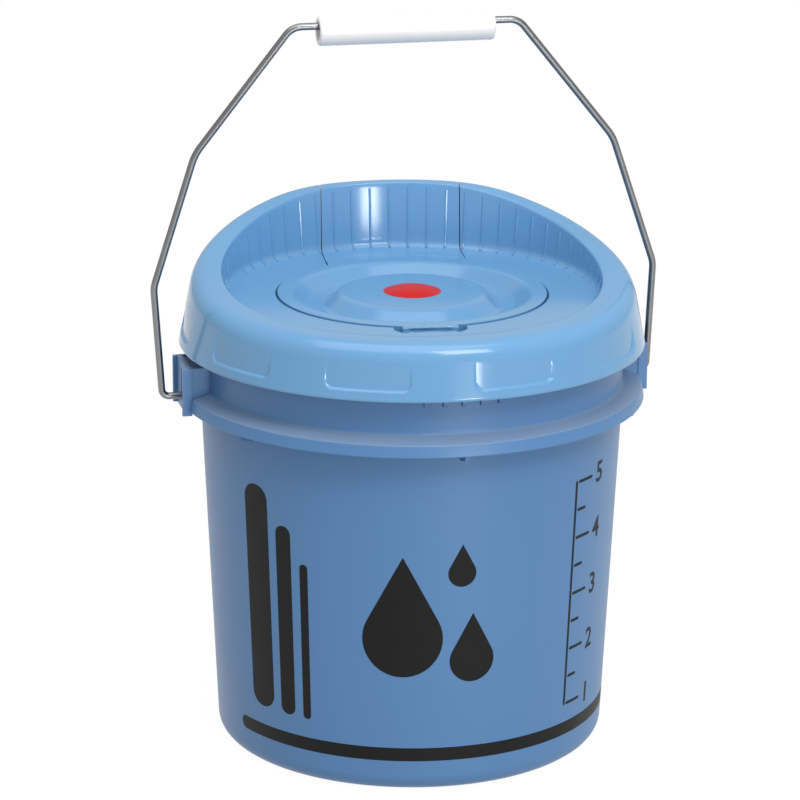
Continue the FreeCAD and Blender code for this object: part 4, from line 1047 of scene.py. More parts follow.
class RimForm:
    """Skirt, scooped rim, inner wall and floor of the lid, by the angle from its front."""

    def __init__(self, s):
        self.s = s
        self.lean = math.tan(s.draft)
        opening = math.pi / 2 + s.dish_draft
        run = s.dish_round / math.tan(opening / 2)
        self.arc_turn = math.pi - opening
        self.arc_length = s.dish_round * self.arc_turn
        self.arc_middle = (s.dish_foot - run, s.floor_top + s.dish_round)
        self.arc_top = self.arc_middle[1] - s.dish_round * math.cos(self.arc_turn)
        front = (-self.skirt(s.rim_front), s.rim_front)
        back = (math.sqrt(s.rim_middle ** 2 - s.slot_half ** 2), s.rim_back)
        self.scoop_middle, self.scoop_radius = self.circle_through(front, (0, s.rim_side), back)

    @staticmethod
    def circle_through(a, b, c):
        """Middle and radius of the circle through three points."""
        d = 2 * (a[0] * (b[1] - c[1]) + b[0] * (c[1] - a[1]) + c[0] * (a[1] - b[1]))
        p, q, r = (spot[0] ** 2 + spot[1] ** 2 for spot in (a, b, c))
        x = (p * (b[1] - c[1]) + q * (c[1] - a[1]) + r * (a[1] - b[1])) / d
        y = (p * (c[0] - b[0]) + q * (a[0] - c[0]) + r * (b[0] - a[0])) / d
        return (x, y), math.hypot(a[0] - x, a[1] - y)

    def skirt(self, height):
        """Outer radius of the skirt's line at a height."""
        return self.s.skirt_radius - (height - self.s.skirt_low) * self.lean

    def scoop(self, y):
        """Height of the rim's top: an arc that climbs to a level back."""
        across = y - self.scoop_middle[0]
        climb = self.scoop_middle[1] - math.sqrt(self.scoop_radius ** 2 - across ** 2)
        return soft_min(climb, self.s.rim_back, BACK_BLEND)

    def wall(self, along, out=0.0):
        """Point of the inner wall by the length along it from the floor, out into the plastic."""
        radius = self.s.dish_round + out
        turn = min(along, self.arc_length) / self.s.dish_round
        r = self.arc_middle[0] + radius * math.sin(turn)
        z = self.arc_middle[1] - radius * math.cos(turn)
        beyond = max(0.0, along - self.arc_length)
        return r + beyond * math.sin(self.s.dish_draft), z + beyond * math.cos(self.s.dish_draft)

    def along_at(self, height):
        """Length along the inner wall at a height."""
        if height < self.arc_top:
            share = (self.arc_middle[1] - height) / self.s.dish_round
            return self.s.dish_round * math.acos(min(1.0, max(-1.0, share)))
        return self.arc_length + (height - self.arc_top) / math.cos(self.s.dish_draft)

    def corners(self, phi):
        """Outer corner of the rim, its inner corner and the inner one's place along the wall."""
        outer = inner = self.s.rim_side
        for _ in range(FIT_ROUNDS):
            outer = self.scoop(-self.skirt(outer) * math.cos(phi))
            inner = self.scoop(-self.wall(self.along_at(inner))[0] * math.cos(phi))
        along = self.along_at(inner)
        return (self.skirt(outer), outer), self.wall(along), along

    def panel(self, phi, height):
        """How far the skirt is sunk at a panel."""
        s = self.s
        low, high = s.skirt_low + s.panel_low, s.skirt_low + s.panel_high
        step = TURN / s.panel_count
        middle = (math.floor(phi / step) + 0.5) * step
        if abs(middle) > math.pi - step or not low - 1 < height < high:
            return 0.0
        reach = high - low + s.panel_round * 2
        off = round_box((phi - middle) * self.skirt(low), height - low - reach / 2,
                        s.panel_width / 2 * self.skirt(low), reach / 2, s.panel_round)
        depth = s.panel_depth * (high - max(height, low)) / (high - low)
        return depth * (1 - ease(-EDGE, EDGE, off))

    def rim_rows(self, start, thick):
        """Rows from heights on the skirt over the rim to the floor, and what places them: point
        gives a row's (radius, height) at an angle, on the outside if thick is 0 and else that far
        into the plastic, and frame_at the bends that all rows at an angle share."""
        s = self.s
        rows = [("skirt", height) for height in start]
        for kind, steps in RIM_STEPS.items():
            rows += [(kind, step / steps) for step in range(1, steps + 1)]

        def frame_at(phi):
            outer, inner, along = self.corners(phi)
            width = math.dist(outer, inner)
            soft, crisp = min(s.rim_soft, width / 2), min(s.rim_crisp, width / 4)
            if thick:
                outer = (self.skirt(outer[1] - thick) - thick, outer[1] - thick)
                along = max(along - thick, LEAST_RUN)
                inner = self.wall(along, thick)
                soft, crisp = max(soft - thick, LEAST_ROUND), LEAST_ROUND
                width = max(math.dist(outer, inner), LEAST_RUN)
            foot = max(outer[1] - soft * math.cos(s.draft), s.skirt_low + s.panel_high + 0.2)
            lead = (self.skirt(foot) - thick, foot)
            leave = between(outer, inner, min(soft / width, SOFT_SHARE))
            meet = between(inner, outer, min(crisp / width, CRISP_SHARE))
            drop = max(along - crisp, LEAST_RUN / 2)
            return outer, inner, lead, leave, meet, drop

        def point(row, phi, known=None):
            kind, share = row
            if kind == "skirt":
                return self.skirt(share) - (thick or self.panel(phi, share)), share
            outer, inner, lead, leave, meet, drop = known or frame_at(phi)
            if kind == "rise":
                height = mix(start[-1], lead[1], share)
                return self.skirt(height) - thick, height
            if kind == "shoulder":
                return bow(lead, outer, leave, share)
            if kind == "top":
                return between(leave, meet, share)
            if kind == "crest":
                return bow(meet, inner, self.wall(drop, thick), share)
            return self.wall(drop * (1 - share) ** WALL_CROWDING, thick)

        return rows, point, frame_at


# ---------------------------------------------------------------- lid

EVEN_COLUMNS = 170
RECESS_STEP = 0.0045  # radians between the columns beside the finger recess
LEAST_STEP = 0.0016  # radians; a column closer to the last one is left out
RECESS_BACK = 8.0  # half the length of the recess's box, which runs back under the cover
RECESS_EDGE = 0.4
FOOT_ROLL = 0.3  # skirt's lower edge rolled in
SKIRT_ROWS = [0, 0.35, 1.5, 3]  # rows above the skirt's lower edge
PANEL_ROWS = [6.5, 8.5, 10.5]  # coarse rows above the panels' lower edge
LIP_ROWS = [(0.15, 0.05), (0, 0.25), (0, 1.5)]  # out from the gap and below the floor
FLOOR_RADII = [85.5, 83, 80.5, 78.5, 77.2, 76.6, 76.2, 75.8, 75.4, 75, 74.4, 73.6, 72.6, 71.5, 70.4,
               69.5]
BACK_COLUMNS, BACK_ROWS = 14, 3
CHAMFER = 0.35
SEAM_LOW, SEAM_INSET = 8.5, 5.2  # plates that close the rim beside the slot
SEAM_FRONT, SEAM_STEP = 3.0, 102.5
RIB_FOOT, RIB_HEAD, RIB_LEAST = 2.2, 1.8, 5.5  # fine ribs: ends short of the wall's, least length
RIB_STEPS, RIB_SIDES = 12, 8
SEAL_CLEAR, SEAL_WALL, SEAL_DROP, SEAL_WEB = 0.7, 2.0, 5.4, 3.2  # rib inside the bucket's neck
BRIDGE_INSET, BRIDGE_WALL = 3.2, 2.0  # wall of the lid behind the cover's tail
BRIDGE_FRONT, BRIDGE_BACK = 1.5, 4.0  # plate over the neck: in from the rib and the skirt
WELL_LAP, RIB_LAP = 2.0, 1.0  # plate from the well to the rib, into both
FLUSH = 0.05  # step between faces that are flush to the eye
HINGE_GAP = 0.5
HOLE_CLEAR = 0.2


def lid_columns(s, end):
    """Angles of the lid's columns: even steps, finer at the panels' edges and the finger recess."""
    angles = set(spread(-end, end, EVEN_COLUMNS))
    for panel in range(s.panel_count // 2 - 1):
        middle = (panel + 0.5) * TURN / s.panel_count
        for side in (-1, 1):
            edge = middle + side * s.panel_width / 2
            for step in range(-2, 11):
                at = edge - side * step * EDGE / (s.skirt_radius - 1)
                angles.update((at, -at))
    recess = math.asin(s.recess_half / (s.gap_radius + s.recess_reach / 2))
    for step in range(-9, 6):
        angles.update((recess + step * RECESS_STEP, -recess - step * RECESS_STEP))
    ordered = []
    for at in sorted(angles):
        if not ordered or at - ordered[-1] > LEAST_STEP:
            ordered.append(at)
    ordered[-1] = end
    return ordered


def lid_grid(form, thick):
    """Rows of points of the lid's skin from its skirt to the gap, outside or inside."""
    s = form.s
    low, foot, gap = s.skirt_low, s.skirt_low + s.panel_low, s.gap_radius
    heights = [low + rise for rise in SKIRT_ROWS]
    heights += [foot + EDGE * step for step in range(-2, 12)]
    heights += [foot + rise for rise in PANEL_ROWS] + [low + s.panel_high]
    rows, point, frame_at = form.rim_rows(heights, thick)
    deepest = s.floor_top - s.ledge
    lip = [(gap + out, drop) for out, drop in LIP_ROWS] + [(gap, deepest)]
    end = math.pi - math.asin(s.slot_half / s.skirt_radius)
    roll = 1 - FOOT_ROLL / s.skirt_radius

    def floor_height(x, y):
        off = round_box(x, -y - gap - s.recess_reach + RECESS_BACK, s.recess_half, RECESS_BACK,
                        s.recess_round)
        return mix(s.ledge, s.floor_top, ease(-RECESS_EDGE, RECESS_EDGE, off))

    def placed(phi, weight, shape):
        side = math.copysign(1, phi)
        at = phi
        r, z = shape(at)
        for _ in range(SEAM_ROUNDS if weight else 0):
            at = phi + side * weight * (math.pi - math.asin(s.slot_half / r) - end)
            r, z = shape(at)
        return r * math.sin(at), -r * math.cos(at), z

    columns = []
    for phi in lid_columns(s, end):
        weight = ease(SEAM_START, end, abs(phi))
        known = None if weight else frame_at(phi)
        column = [placed(phi, weight, lambda at, row=row: point(row, at, known)) for row in rows]
        if not thick:
            x, y, z = column[0]
            column[0] = (x * roll, y * roll, z)
        for radius in FLOOR_RADII:
            r = max(radius, gap + s.floor_thick) if thick else radius
            x, y, _ = placed(phi, weight, lambda at, r=r: (r, 0))
            column.append((x, y, floor_height(x, y) - (SHELL if thick else 0)))
        for radius, drop in lip:
            r = gap + s.floor_thick if thick else radius
            x, y, _ = placed(phi, weight, lambda at, r=r: (r, 0))
            height = s.floor_top - drop
            if thick and drop < deepest:
                height = min(height, s.floor_top - SHELL)
            column.append((x, y, max(s.ledge - SHELL, min(height, floor_height(x, y)))))
        columns.append(column)
    return [list(row) for row in zip(*columns)]


def arc_rows(radius_at, heights, start, end):
    """Grid of points on a turned surface at the back, between two sideways places."""
    rows = []
    for height in heights:
        r = radius_at(height)
        rows.append([(x, math.sqrt(r * r - x * x), height)
                     for x in spread(start, end, BACK_COLUMNS)])
    return rows


def back_wall(form, inset, thick, low, high, start, end):
    """Closed piece of curved wall behind the middle that follows the skirt's lean."""
    heights = spread(low, high, BACK_ROWS)
    return shell_of(arc_rows(lambda z: form.skirt(z) - inset, heights, start, end),
                    arc_rows(lambda z: form.skirt(z) - inset - thick, heights, start, end))


def back_plate(inner, outer, half, low, high):
    """Level plate behind the middle between two radii."""
    sideways = spread(-half, half, 16)
    outline = [(x, math.sqrt(outer ** 2 - x * x)) for x in reversed(sideways)]
    outline += [(x, math.sqrt(inner ** 2 - x * x)) for x in sideways]
    return prism(outline, low, high, level)


def rod(radius, start, end, y, z, columns=32):
    """Round rod along X with chamfered ends."""
    rows = []
    for x, r in ((start, 0.0), (start, radius - CHAMFER), (start + CHAMFER, radius),
                 (end - CHAMFER, radius), (end, radius - CHAMFER), (end, 0.0)):
        turns = [TURN * step / columns for step in range(columns)]
        rows.append([(x, y + r * math.cos(turn), z + r * math.sin(turn)) for turn in turns])
    return lofted(rows, closed=True)


def seam_plates(form, outer, inner):
    """Plates that close the hollow rim beside the slot for the tail."""
    s = form.s
    low, under = s.skirt_low + SEAM_LOW, s.ledge - s.floor_thick
    depth = s.slot_half + s.floor_thick / 2

    def behind(radius):
        return math.sqrt(radius ** 2 - depth ** 2)

    edges = zip([row[-1] for row in outer], [row[-1] for row in inner])
    outline = [((a[1] + b[1]) / 2, (a[2] + b[2]) / 2) for a, b in edges if a[2] >= low]
    outline += [
        (behind(s.well_radius + SEAM_FRONT), under), (behind(SEAM_STEP), under),
        (behind(SEAM_STEP), s.seat),
        (behind(form.skirt(s.seat) - SEAM_INSET), s.seat),
        (behind(form.skirt(low) - SEAM_INSET), low),
    ]
    return merged(*(flat_plate([outline], side * s.slot_half, side * (s.slot_half + s.floor_thick),
                               facing_x) for side in (-1, 1)))


def wall_ribs(name, form, wanted, plastic):
    """Fine ribs up the inner wall, where their place beside the middle of the back is wanted."""
    s = form.s
    lines = []
    for index in range(-s.rib_count // 2, s.rib_count // 2):
        away = index * TURN / s.rib_count
        beside = abs(math.sin(away)) * s.dish_foot if abs(away) <= math.pi / 2 else math.inf
        along = form.corners(math.pi + away)[2] - s.rim_crisp - RIB_HEAD
        if along < RIB_LEAST or not wanted(beside):
            continue
        turn = math.pi + away + s.turn
        line = [form.wall(place) for place in spread(RIB_FOOT, along, RIB_STEPS)]
        lines.append([(r * math.sin(turn), -r * math.cos(turn), z) for r, z in line])
    ribs = make_paths(name, lines)
    grow(ribs, along_paths, plastic, Radius=s.rib_radius * MM, Sides=RIB_SIDES)
    return ribs


def well_shape(s, hole):
    """Well under the cover: the ledge round it, its wall and its floor with the nozzle's hole."""
    gap, ledge, thick = s.gap_radius + s.floor_thick, s.ledge - FACE_APART, s.floor_thick
    return ring([
        (gap, ledge), (s.well_radius, ledge, 0.5), (s.well_radius, s.well_floor, 1.6),
        (hole, s.well_floor, 0.3), (hole, s.well_floor - thick, 0.3),
        (s.well_radius + thick, s.well_floor - thick, 1.6),
        (s.well_radius + thick, s.ledge - thick, 0.4), (gap, s.ledge - thick, 0.3),
    ], columns=144)


def back_shape(form, c, rib, outer, inner):
    """What the lid has behind the well: plates and walls round the slot, and its hinge knuckles."""
    s = form.s
    half, slot = s.slot_half + s.floor_thick, c.hinge_z + c.knuckle_radius + HINGE_GAP
    bridge = s.seat + BRIDGE_WALL
    parts = [
        back_plate(s.well_radius + WELL_LAP, rib - RIB_LAP, half, s.ledge - s.floor_thick,
                   s.ledge - 2 * FACE_APART),
        back_plate(rib - BRIDGE_FRONT, form.skirt(s.seat) - BRIDGE_BACK, half, s.seat, bridge),
        back_wall(form, BRIDGE_INSET, BRIDGE_WALL, slot, bridge, -half, half),
        seam_plates(form, outer, inner),
    ]

    def ends(side, far):
        return sorted((side * (c.knuckle_half + HINGE_GAP), side * far))

    for side in (-1, 1):
        parts += [
            back_wall(form, BRIDGE_INSET, BRIDGE_WALL, s.skirt_low, slot, *ends(side, half)),
            back_wall(form, 0.0, s.wall, s.skirt_low, slot, *ends(side, s.slot_half + FLUSH)),
            rod(c.knuckle_radius, *ends(side, c.tail_half), c.hinge_y, c.hinge_z),
        ]
    return merged(*parts)


class DISPENSER_OT_lid(bpy.types.Operator):
    """Build the lid with its scooped rim, sunk panels, well and hinge knuckles, and its gasket"""
    bl_idname = "dispenser.lid"
    bl_label = "Lid"

    def execute(self, context):
        s = in_millimetres(context.scene.dispenser_lid)
        c = in_millimetres(context.scene.dispenser_cover)
        b = in_millimetres(context.scene.dispenser_bucket)
        plastic = material_of("lid")
        form = RimForm(s)
        outer, inner = lid_grid(form, 0.0), lid_grid(form, s.wall)
        skin = make_object("lid_skin", turned_about_z(shell_of(outer, inner), s.turn), plastic,
                           sharp=SOFT_ANGLE)
        set_on(skin, "lid", "lid_plastic", "lid")

        bore = b.neck_radius - b.wall
        rib, over = bore - SEAL_CLEAR, b.neck_radius + SEAL_CLEAR
        foot, web = s.seat - SEAL_DROP, s.seat + SEAL_WEB
        seal_rib = ring([
            (rib - SEAL_WALL, foot, 0.6), (rib, foot, 0.6), (rib, s.seat), (over, s.seat),
            (over, web), (rib - SEAL_WALL, web)], columns=144)
        well = merged(well_shape(s, c.nozzle_radius + HOLE_CLEAR), seal_rib)
        inside = make_object("lid_well", turned_about_z(well, s.turn), plastic)
        behind = back_shape(form, c, rib, outer, inner)
        back = make_object("lid_back", turned_about_z(behind, s.turn), plastic)
        ribs = wall_ribs("lid_wall_ribs", form, lambda beside: beside > s.slot_half + 1, plastic)
        for piece in (inside, back, ribs):
            set_on(piece, "lid", "lid_plastic")

        gasket = make_object("lid_gasket_ring", ring([
            (bore, b.height, 0.7), (b.neck_radius, b.height, 0.7), (b.neck_radius, s.seat, 0.7),
            (bore, s.seat, 0.7)]), material_of("rubber"))
        set_on(gasket, "lid", "gasket_rubber", "lid_gasket")
        return {"FINISHED"}


# ---------------------------------------------------------------- flip cover and what it closes

LIP_CLEAR = 0.4  # lips end this far above the lid's ledge
TAIL_PROUD = 0.03  # tail above the disc's ring where they lap
TAIL_CLIMB = (69.5, 80)  # radii between which the tail climbs from the lid's floor to the ring
TAIL_RADII = [86, 84, 82, 80, 78, 76.5, 75, 73.5, 72, 70.5, 69, 67.5, 65.5]
TAIL_ROWS = [0, 0.4, 3]  # rows above the tail's lower edge
TAIL_COLUMNS, TAIL_EDGE, TAIL_MARGIN = 30, 0.4, 2.0
TAIL_ROUNDS = 5  # rounds of fitting a place beside the middle to the rim
LINK_LAP = 2.0  # wall from the knuckle into the tail
TAB_LAP, TAB_SUNK = 3.0, 0.04  # tab under the disc's ring, and below its faces
TAB_LIP, LIP_SUNK = 2.0, 0.3
SEAL_START, SEAL_END, SEAL_LIFT = 0.8, 2.7, 0.3  # foam seal out from the well, above the ledge
DOME_SHARE = 0.97  # share of the dome before the rounding of its edge
STEM_RADIUS, BARB_RADIUS, BARB_HEIGHT = 4.8, 6.5, 1.2
TIP_RADIUS, TIP_DEPTH = 3.6, 2.5
NOZZLE_WALL, NOZZLE_RIM, NOZZLE_DEPTH = 1.8, 5.5, 8.5
SLIT_LENGTH, PETAL_LAP = 8.0, 0.1
NUT_HEIGHT = 4.5


def tail_grid(form, c, thick):
    """Rows of points of the cover's tail from its lower edge over the rim to the disc's ring."""
    s = form.s
    top = s.skirt_low + s.panel_high
    heights = [c.tail_low + rise for rise in TAIL_ROWS] + [top - 2, top]
    rows, point, _ = form.rim_rows(heights, thick)
    lift = c.ring_top + TAIL_PROUD - s.floor_top
    under = SHELL if thick else 0
    half = c.tail_half
    inside = spread(TAIL_MARGIN - half, half - TAIL_MARGIN, TAIL_COLUMNS)
    sideways = [-half, TAIL_EDGE - half, *inside, half - TAIL_EDGE, half]
    grid = []
    for row in rows:
        line = []
        for x in sideways:
            r, z = s.skirt_radius, 0
            for _ in range(TAIL_ROUNDS):
                r, z = point(row, math.pi - math.asin(x / r))
            line.append((x, math.sqrt(r * r - x * x), z))
        grid.append(line)
    for radius in TAIL_RADII:
        height = s.floor_top + lift * (1 - ease(*TAIL_CLIMB, radius)) - under
        grid.append([(x, math.sqrt(radius ** 2 - x * x), height) for x in sideways])
    return grid


def disc_shape(c, ledge):
    """Cover disc: flat ring with a lip down to the lid's ledge, rounded moat and central boss."""
    foot, lean = ledge + LIP_CLEAR, c.wall / 2
    under_ring, under_moat, under_boss = (
        top - c.wall for top in (c.ring_top, c.moat_floor, c.boss_top))
    return lathe(rounded([
        (0, c.boss_top), (c.boss_radius, c.boss_top, 6), (c.moat_inner, c.moat_floor, 5),
        (c.moat_outer, c.moat_floor, 6), (c.ring_bore, c.ring_top, 5),
        (c.disc_radius, c.ring_top, 0.6), (c.disc_radius - 0.6, foot, 0.2),
        (c.disc_radius - 1.2, foot, 0.2), (c.disc_radius - 1.3, under_ring, 0.3),
        (c.ring_bore + lean, under_ring, 4), (c.moat_outer + lean, under_moat, 5),
        (c.moat_inner - lean, under_moat, 5), (c.boss_radius - lean, under_boss, 4),
        (0, under_boss),
    ], steps=7), columns=176)


def tab_shape(c, ledge):
    """Finger tab at the front of the disc, its lip turned down into the recess."""
    end, top = c.disc_radius + c.tab_reach, c.ring_top - TAB_SUNK

    def outline(back):
        return rounded([(-c.tab_half, -end, c.tab_round), (c.tab_half, -end, c.tab_round),
                        (c.tab_half, back), (-c.tab_half, back)],
                       closed=True, steps=7, guard=NO_GUARD)

    low = c.ring_top - c.wall + TAB_SUNK
    return merged(prism(outline(-c.ring_bore - TAB_LAP), low, top, level),
                  prism(outline(TAB_LIP - end), ledge + LIP_CLEAR, top - LIP_SUNK, level))


class DISPENSER_OT_cover(bpy.types.Operator):
    """Build the flip cover: disc, tab, tail, knuckle, wall ribs, seal and hinge pin"""
    bl_idname = "dispenser.cover"
    bl_label = "Flip cover"

    def execute(self, context):
        s = in_millimetres(context.scene.dispenser_lid)
        c = in_millimetres(context.scene.dispenser_cover)
        plastic = material_of("lid")
        form = RimForm(s)
        disc = make_object("cover_disc", turned_about_z(disc_shape(c, s.ledge), s.turn), plastic)
        set_on(disc, "cover", "lid_plastic", "flip_cover")
        tail = shell_of(tail_grid(form, c, 0.0), tail_grid(form, c, s.wall))
        hinge, half = (c.hinge_y, c.hinge_z), c.knuckle_half
        link = back_wall(form, FLUSH, s.wall, c.hinge_z, c.tail_low + LINK_LAP, -half, half)
        knuckle = rod(c.knuckle_radius, -half, half, *hinge)
        behind = turned_about_z(merged(tail, link, knuckle), s.turn)
        back = make_object("cover_tail", behind, plastic, sharp=SOFT_ANGLE)
        tab = make_object("cover_tab", turned_about_z(tab_shape(c, s.ledge), s.turn), plastic)
        soften(tab, 0.5, segments=3)
        ribs = wall_ribs("cover_wall_ribs", form, lambda beside: beside < c.tail_half - 1, plastic)
        for piece in (back, tab, ribs):
            set_on(piece, "cover", "lid_plastic")

        inner, outer = s.well_radius + SEAL_START, s.well_radius + SEAL_END
        low, high = s.ledge + SEAL_LIFT, c.ring_top - c.wall
        seal = make_object("cover_seal_ring", ring([
            (inner, low, 0.7), (outer, low, 0.7), (outer, high, 0.3), (inner, high, 0.3)],
            columns=144), material_of("rubber"))
        set_on(seal, "cover", "gasket_rubber", "cover_seal")
        axle = rod(c.pin_radius, -c.tail_half, c.tail_half, *hinge, columns=24)
        pin = make_object("hinge_pin", turned_about_z(axle, s.turn), material_of("steel"))
        set_on(pin, "lid", "steel", "cover_hinge_pin")
        return {"FINISHED"}


class DISPENSER_OT_stopper(bpy.types.Operator):
    """Build the red stopper with its dome, barb and tip"""
    bl_idname = "dispenser.stopper"
    bl_label = "Stopper"

    def execute(self, context):
        c = in_millimetres(context.scene.dispenser_cover)
        bend = (c.dome_radius ** 2 + c.dome_height ** 2) / (2 * c.dome_height)
        reach = math.asin(c.dome_radius / bend)
        dome = [(bend * math.sin(turn), c.boss_top + c.dome_height - bend * (1 - math.cos(turn)))
                for turn in spread(0, reach * DOME_SHARE, 16)]
        under, tip = c.boss_top - c.wall, c.nozzle_top - TIP_DEPTH
        barb = under - BARB_HEIGHT
        stem = rounded([
            dome[-1], (c.dome_radius, c.boss_top + 0.05, 0.3), (STEM_RADIUS, c.boss_top),
            (STEM_RADIUS, under), (BARB_RADIUS, under, 0.4), (BARB_RADIUS, barb, 0.6),
            (TIP_RADIUS, barb), (TIP_RADIUS, tip, 0.8), (0, tip),
        ], guard=NO_GUARD)
        whole = lathe(dome[:-1] + stem, columns=96)
        stopper = make_object("stopper", whole, material_of("stopper"))
        set_on(stopper, "cover", "red_rubber", "orifice_stopper")
        return {"FINISHED"}


def petal_shape(c, slit_end, slope):
    """One petal of the nozzle between two slits, on the +X side."""
    half = math.pi / c.slit_count
    rows = []
    for radius in spread(c.orifice_radius, slit_end, 6):
        limit = half - math.asin(c.slit_width / 2 / radius)
        height = c.nozzle_top - max(0.0, radius - c.nozzle_flat) * slope
        rows.append([(x, y, height) for x, y in arc((0, 0), radius, -limit, limit, 8)])
    under = [[(x, y, z - NOZZLE_WALL) for x, y, z in row] for row in rows]
    return shell_of(rows, under)


class DISPENSER_OT_nozzle(bpy.types.Operator):
    """Build the nozzle with its petals and the ring that holds it"""
    bl_idname = "dispenser.nozzle"
    bl_label = "Nozzle"

    def execute(self, context):
        s = in_millimetres(context.scene.dispenser_lid)
        c = in_millimetres(context.scene.dispenser_cover)
        white = material_of("nozzle")
        floor, shoulder = s.well_floor, s.well_floor + NOZZLE_WALL
        outer, inner = c.nozzle_radius, c.nozzle_radius - NOZZLE_WALL
        slope = (c.nozzle_top - shoulder) / (outer - c.nozzle_flat)
        slit_end = c.orifice_radius + SLIT_LENGTH
        crown = c.nozzle_top - (slit_end - c.nozzle_flat) * slope
        mouth, rim, low = slit_end - PETAL_LAP, outer + NOZZLE_RIM, floor - NOZZLE_DEPTH
        barrel = make_object("nozzle_barrel", ring([
            (mouth, crown), (outer, shoulder, 1.5), (rim, shoulder, 0.6), (rim, floor, 0.2),
            (outer, floor), (outer, low, 0.4), (inner, low, 0.4), (inner, floor, 1),
            (mouth, crown - NOZZLE_WALL),
        ], columns=96), white)
        set_on(barrel, "lid", "nozzle_plastic", "dispensing_nozzle")
        petals = make_object("nozzle_petals", petal_shape(c, slit_end, slope), white)
        step = TURN / c.slit_count
        grow(petals, round_the_axis, white, Count=c.slit_count, Step=step,
             Start=FRONT + step / 2 + s.turn)
        set_on(petals, "lid", "nozzle_plastic")
        bore, top = outer + HOLE_CLEAR, floor - s.floor_thick
        nut = make_object("nozzle_ring_nut", ring([
            (bore, top - NUT_HEIGHT, 0.4), (rim, top - NUT_HEIGHT, 0.8), (rim, top, 0.3),
            (bore, top, 0.3)], columns=96), white)
        set_on(nut, "lid", "nozzle_plastic", "nozzle_ring")
        return {"FINISHED"}


# ---------------------------------------------------------------- roll, bail and grip

ROLL_LAYERS = 26
GROOVE_LOW, GROOVE_HIGH = 0.7, 1.2  # depth of the grooves between turns, below and above
SAG, SAG_WAVE, SAG_TURN = 0.5, 0.45, 2.4  # uneven upper edges of the turns
SIDE_ROWS, SIDE_CLEAR, SIDE_WAVE = 24, 8.0, 0.25
WIRE_SIDES = 20


class DISPENSER_OT_roll(bpy.types.Operator):
    """Build the roll of wipes, its turns showing at both ends"""
    bl_idname = "dispenser.roll"
    bl_label = "Roll of wipes"

    def execute(self, context):
        s = in_millimetres(context.scene.dispenser_bail)
        low = in_millimetres(context.scene.dispenser_bucket).floor
        high = low + s.roll_height
        step = (s.roll_radius - s.roll_core) / ROLL_LAYERS
        bottom, top = [], []
        for layer in range(ROLL_LAYERS):
            groove = s.roll_core + layer * step
            start, end = groove + 0.25 * step, groove + 0.75 * step
            crest = high - SAG - SAG_WAVE * math.sin(layer * SAG_TURN)
            bottom += [(groove, low + GROOVE_LOW), (start, low), (end, low)]
            top += [(groove, high - GROOVE_HIGH), (start, crest), (end, crest)]
        bottom.append((s.roll_radius, low + GROOVE_LOW))
        top.append((s.roll_radius, high - GROOVE_HIGH))
        heights = spread(low + SIDE_CLEAR, high - SIDE_CLEAR, SIDE_ROWS)
        sides = [(s.roll_radius - SIDE_WAVE * (row % 2), height)
                 for row, height in enumerate(heights)]
        wound = lathe(bottom + sides + top[::-1], columns=120, loop=True)
        roll = make_object("wipe_roll_wound", wound, material_of("wipes"))
        set_on(roll, "bucket", "wipes", "wipe_roll")
        return {"FINISHED"}


class DISPENSER_OT_bail(bpy.types.Operator):
    """Bend the bail wire and hang the grip on it"""
    bl_idname = "dispenser.bail"
    bl_label = "Bail and grip"

    def execute(self, context):
        s = in_millimetres(context.scene.dispenser_bail)
        cos, sin = math.cos(s.lean), math.sin(s.lean)
        right = [  # out from the middle, above the axis, radius of the bend
            (s.leg_half, 0, 3.8), (s.leg_half + s.hip_spread, s.hip_rise, 16.0),
            (s.leg_half - s.shoulder_inset, s.shoulder_rise, 26.0),
            (s.leg_half - s.crown_inset, s.crown_rise, 10.0),
        ]
        left = [(-out, rise, bend) for out, rise, bend in right]
        route = [(-s.wire_end, 0, 0), *left, *reversed(right), (s.wire_end, 0, 0)]
        line = [(x - s.shift - s.skew * rise / s.crown_rise, -rise * sin, s.pivot + rise * cos)
                for x, rise, _ in route]
        wire = make_paths("bail_wire_bent", [line], [bend for _, _, bend in route])
        grow(wire, along_paths, material_of("steel"), Radius=s.wire_radius * MM, Sides=WIRE_SIDES)
        set_on(wire, "bail", "steel", "bail_wire")

        rise, half = s.crown_rise - s.grip_drop, s.grip_length / 2
        points, faces = ring([
            (s.grip_bore, -half, 0.5), (s.grip_radius, -half, 1.3), (s.grip_radius, half, 1.3),
            (s.grip_bore, half, 0.5)], columns=64, steps=7)
        tube = [(z - s.shift - s.skew, x * cos - (y + rise) * sin,
                 s.pivot + x * sin + (y + rise) * cos) for x, y, z in points]
        grip = make_object("bail_grip_tube", (tube, faces), material_of("grip"))
        set_on(grip, "grip", "grip_plastic", "bail_grip")
        return {"FINISHED"}


# ---------------------------------------------------------------- stage

CAMERA_PLACE = (-410.2, -1695.5, 683.5)
CAMERA_HEADING = math.radians(-13.41)
CAMERA_PITCH = math.radians(16.277)
CAMERA_ROLL = math.radians(0.37)
CAMERA_LENS = 160.5
LAMPS = [
    # name, place in mm, aim in mm, width, height, watts
    ("top_softbox", (-200, -300, 1700), (0, 0, 220), 1500, 1500, 13.0),
    ("key_softbox", (430, -1350, 1700), (0, 0, 200), 760, 760, 15.0),
    ("low_softbox", (400, -1720, 130), (0, 60, 240), 330, 300, 7.0),
]
FLOOR_REACH, FLOOR_TOP, FLOOR_BASE = 9000, -0.1, -20
FLOOR_GLOW, GLOW_SHARE = 1.1, 0.88  # glow that whitens the floor as seen and mirrored
AMBIENT = 0.5  # strength of the room's light on matt faces; the camera sees 1
MIRRORED_SHARE = 0.2  # how far reflections of the room go from that towards 1
WHITE = (1, 1, 1, 1)


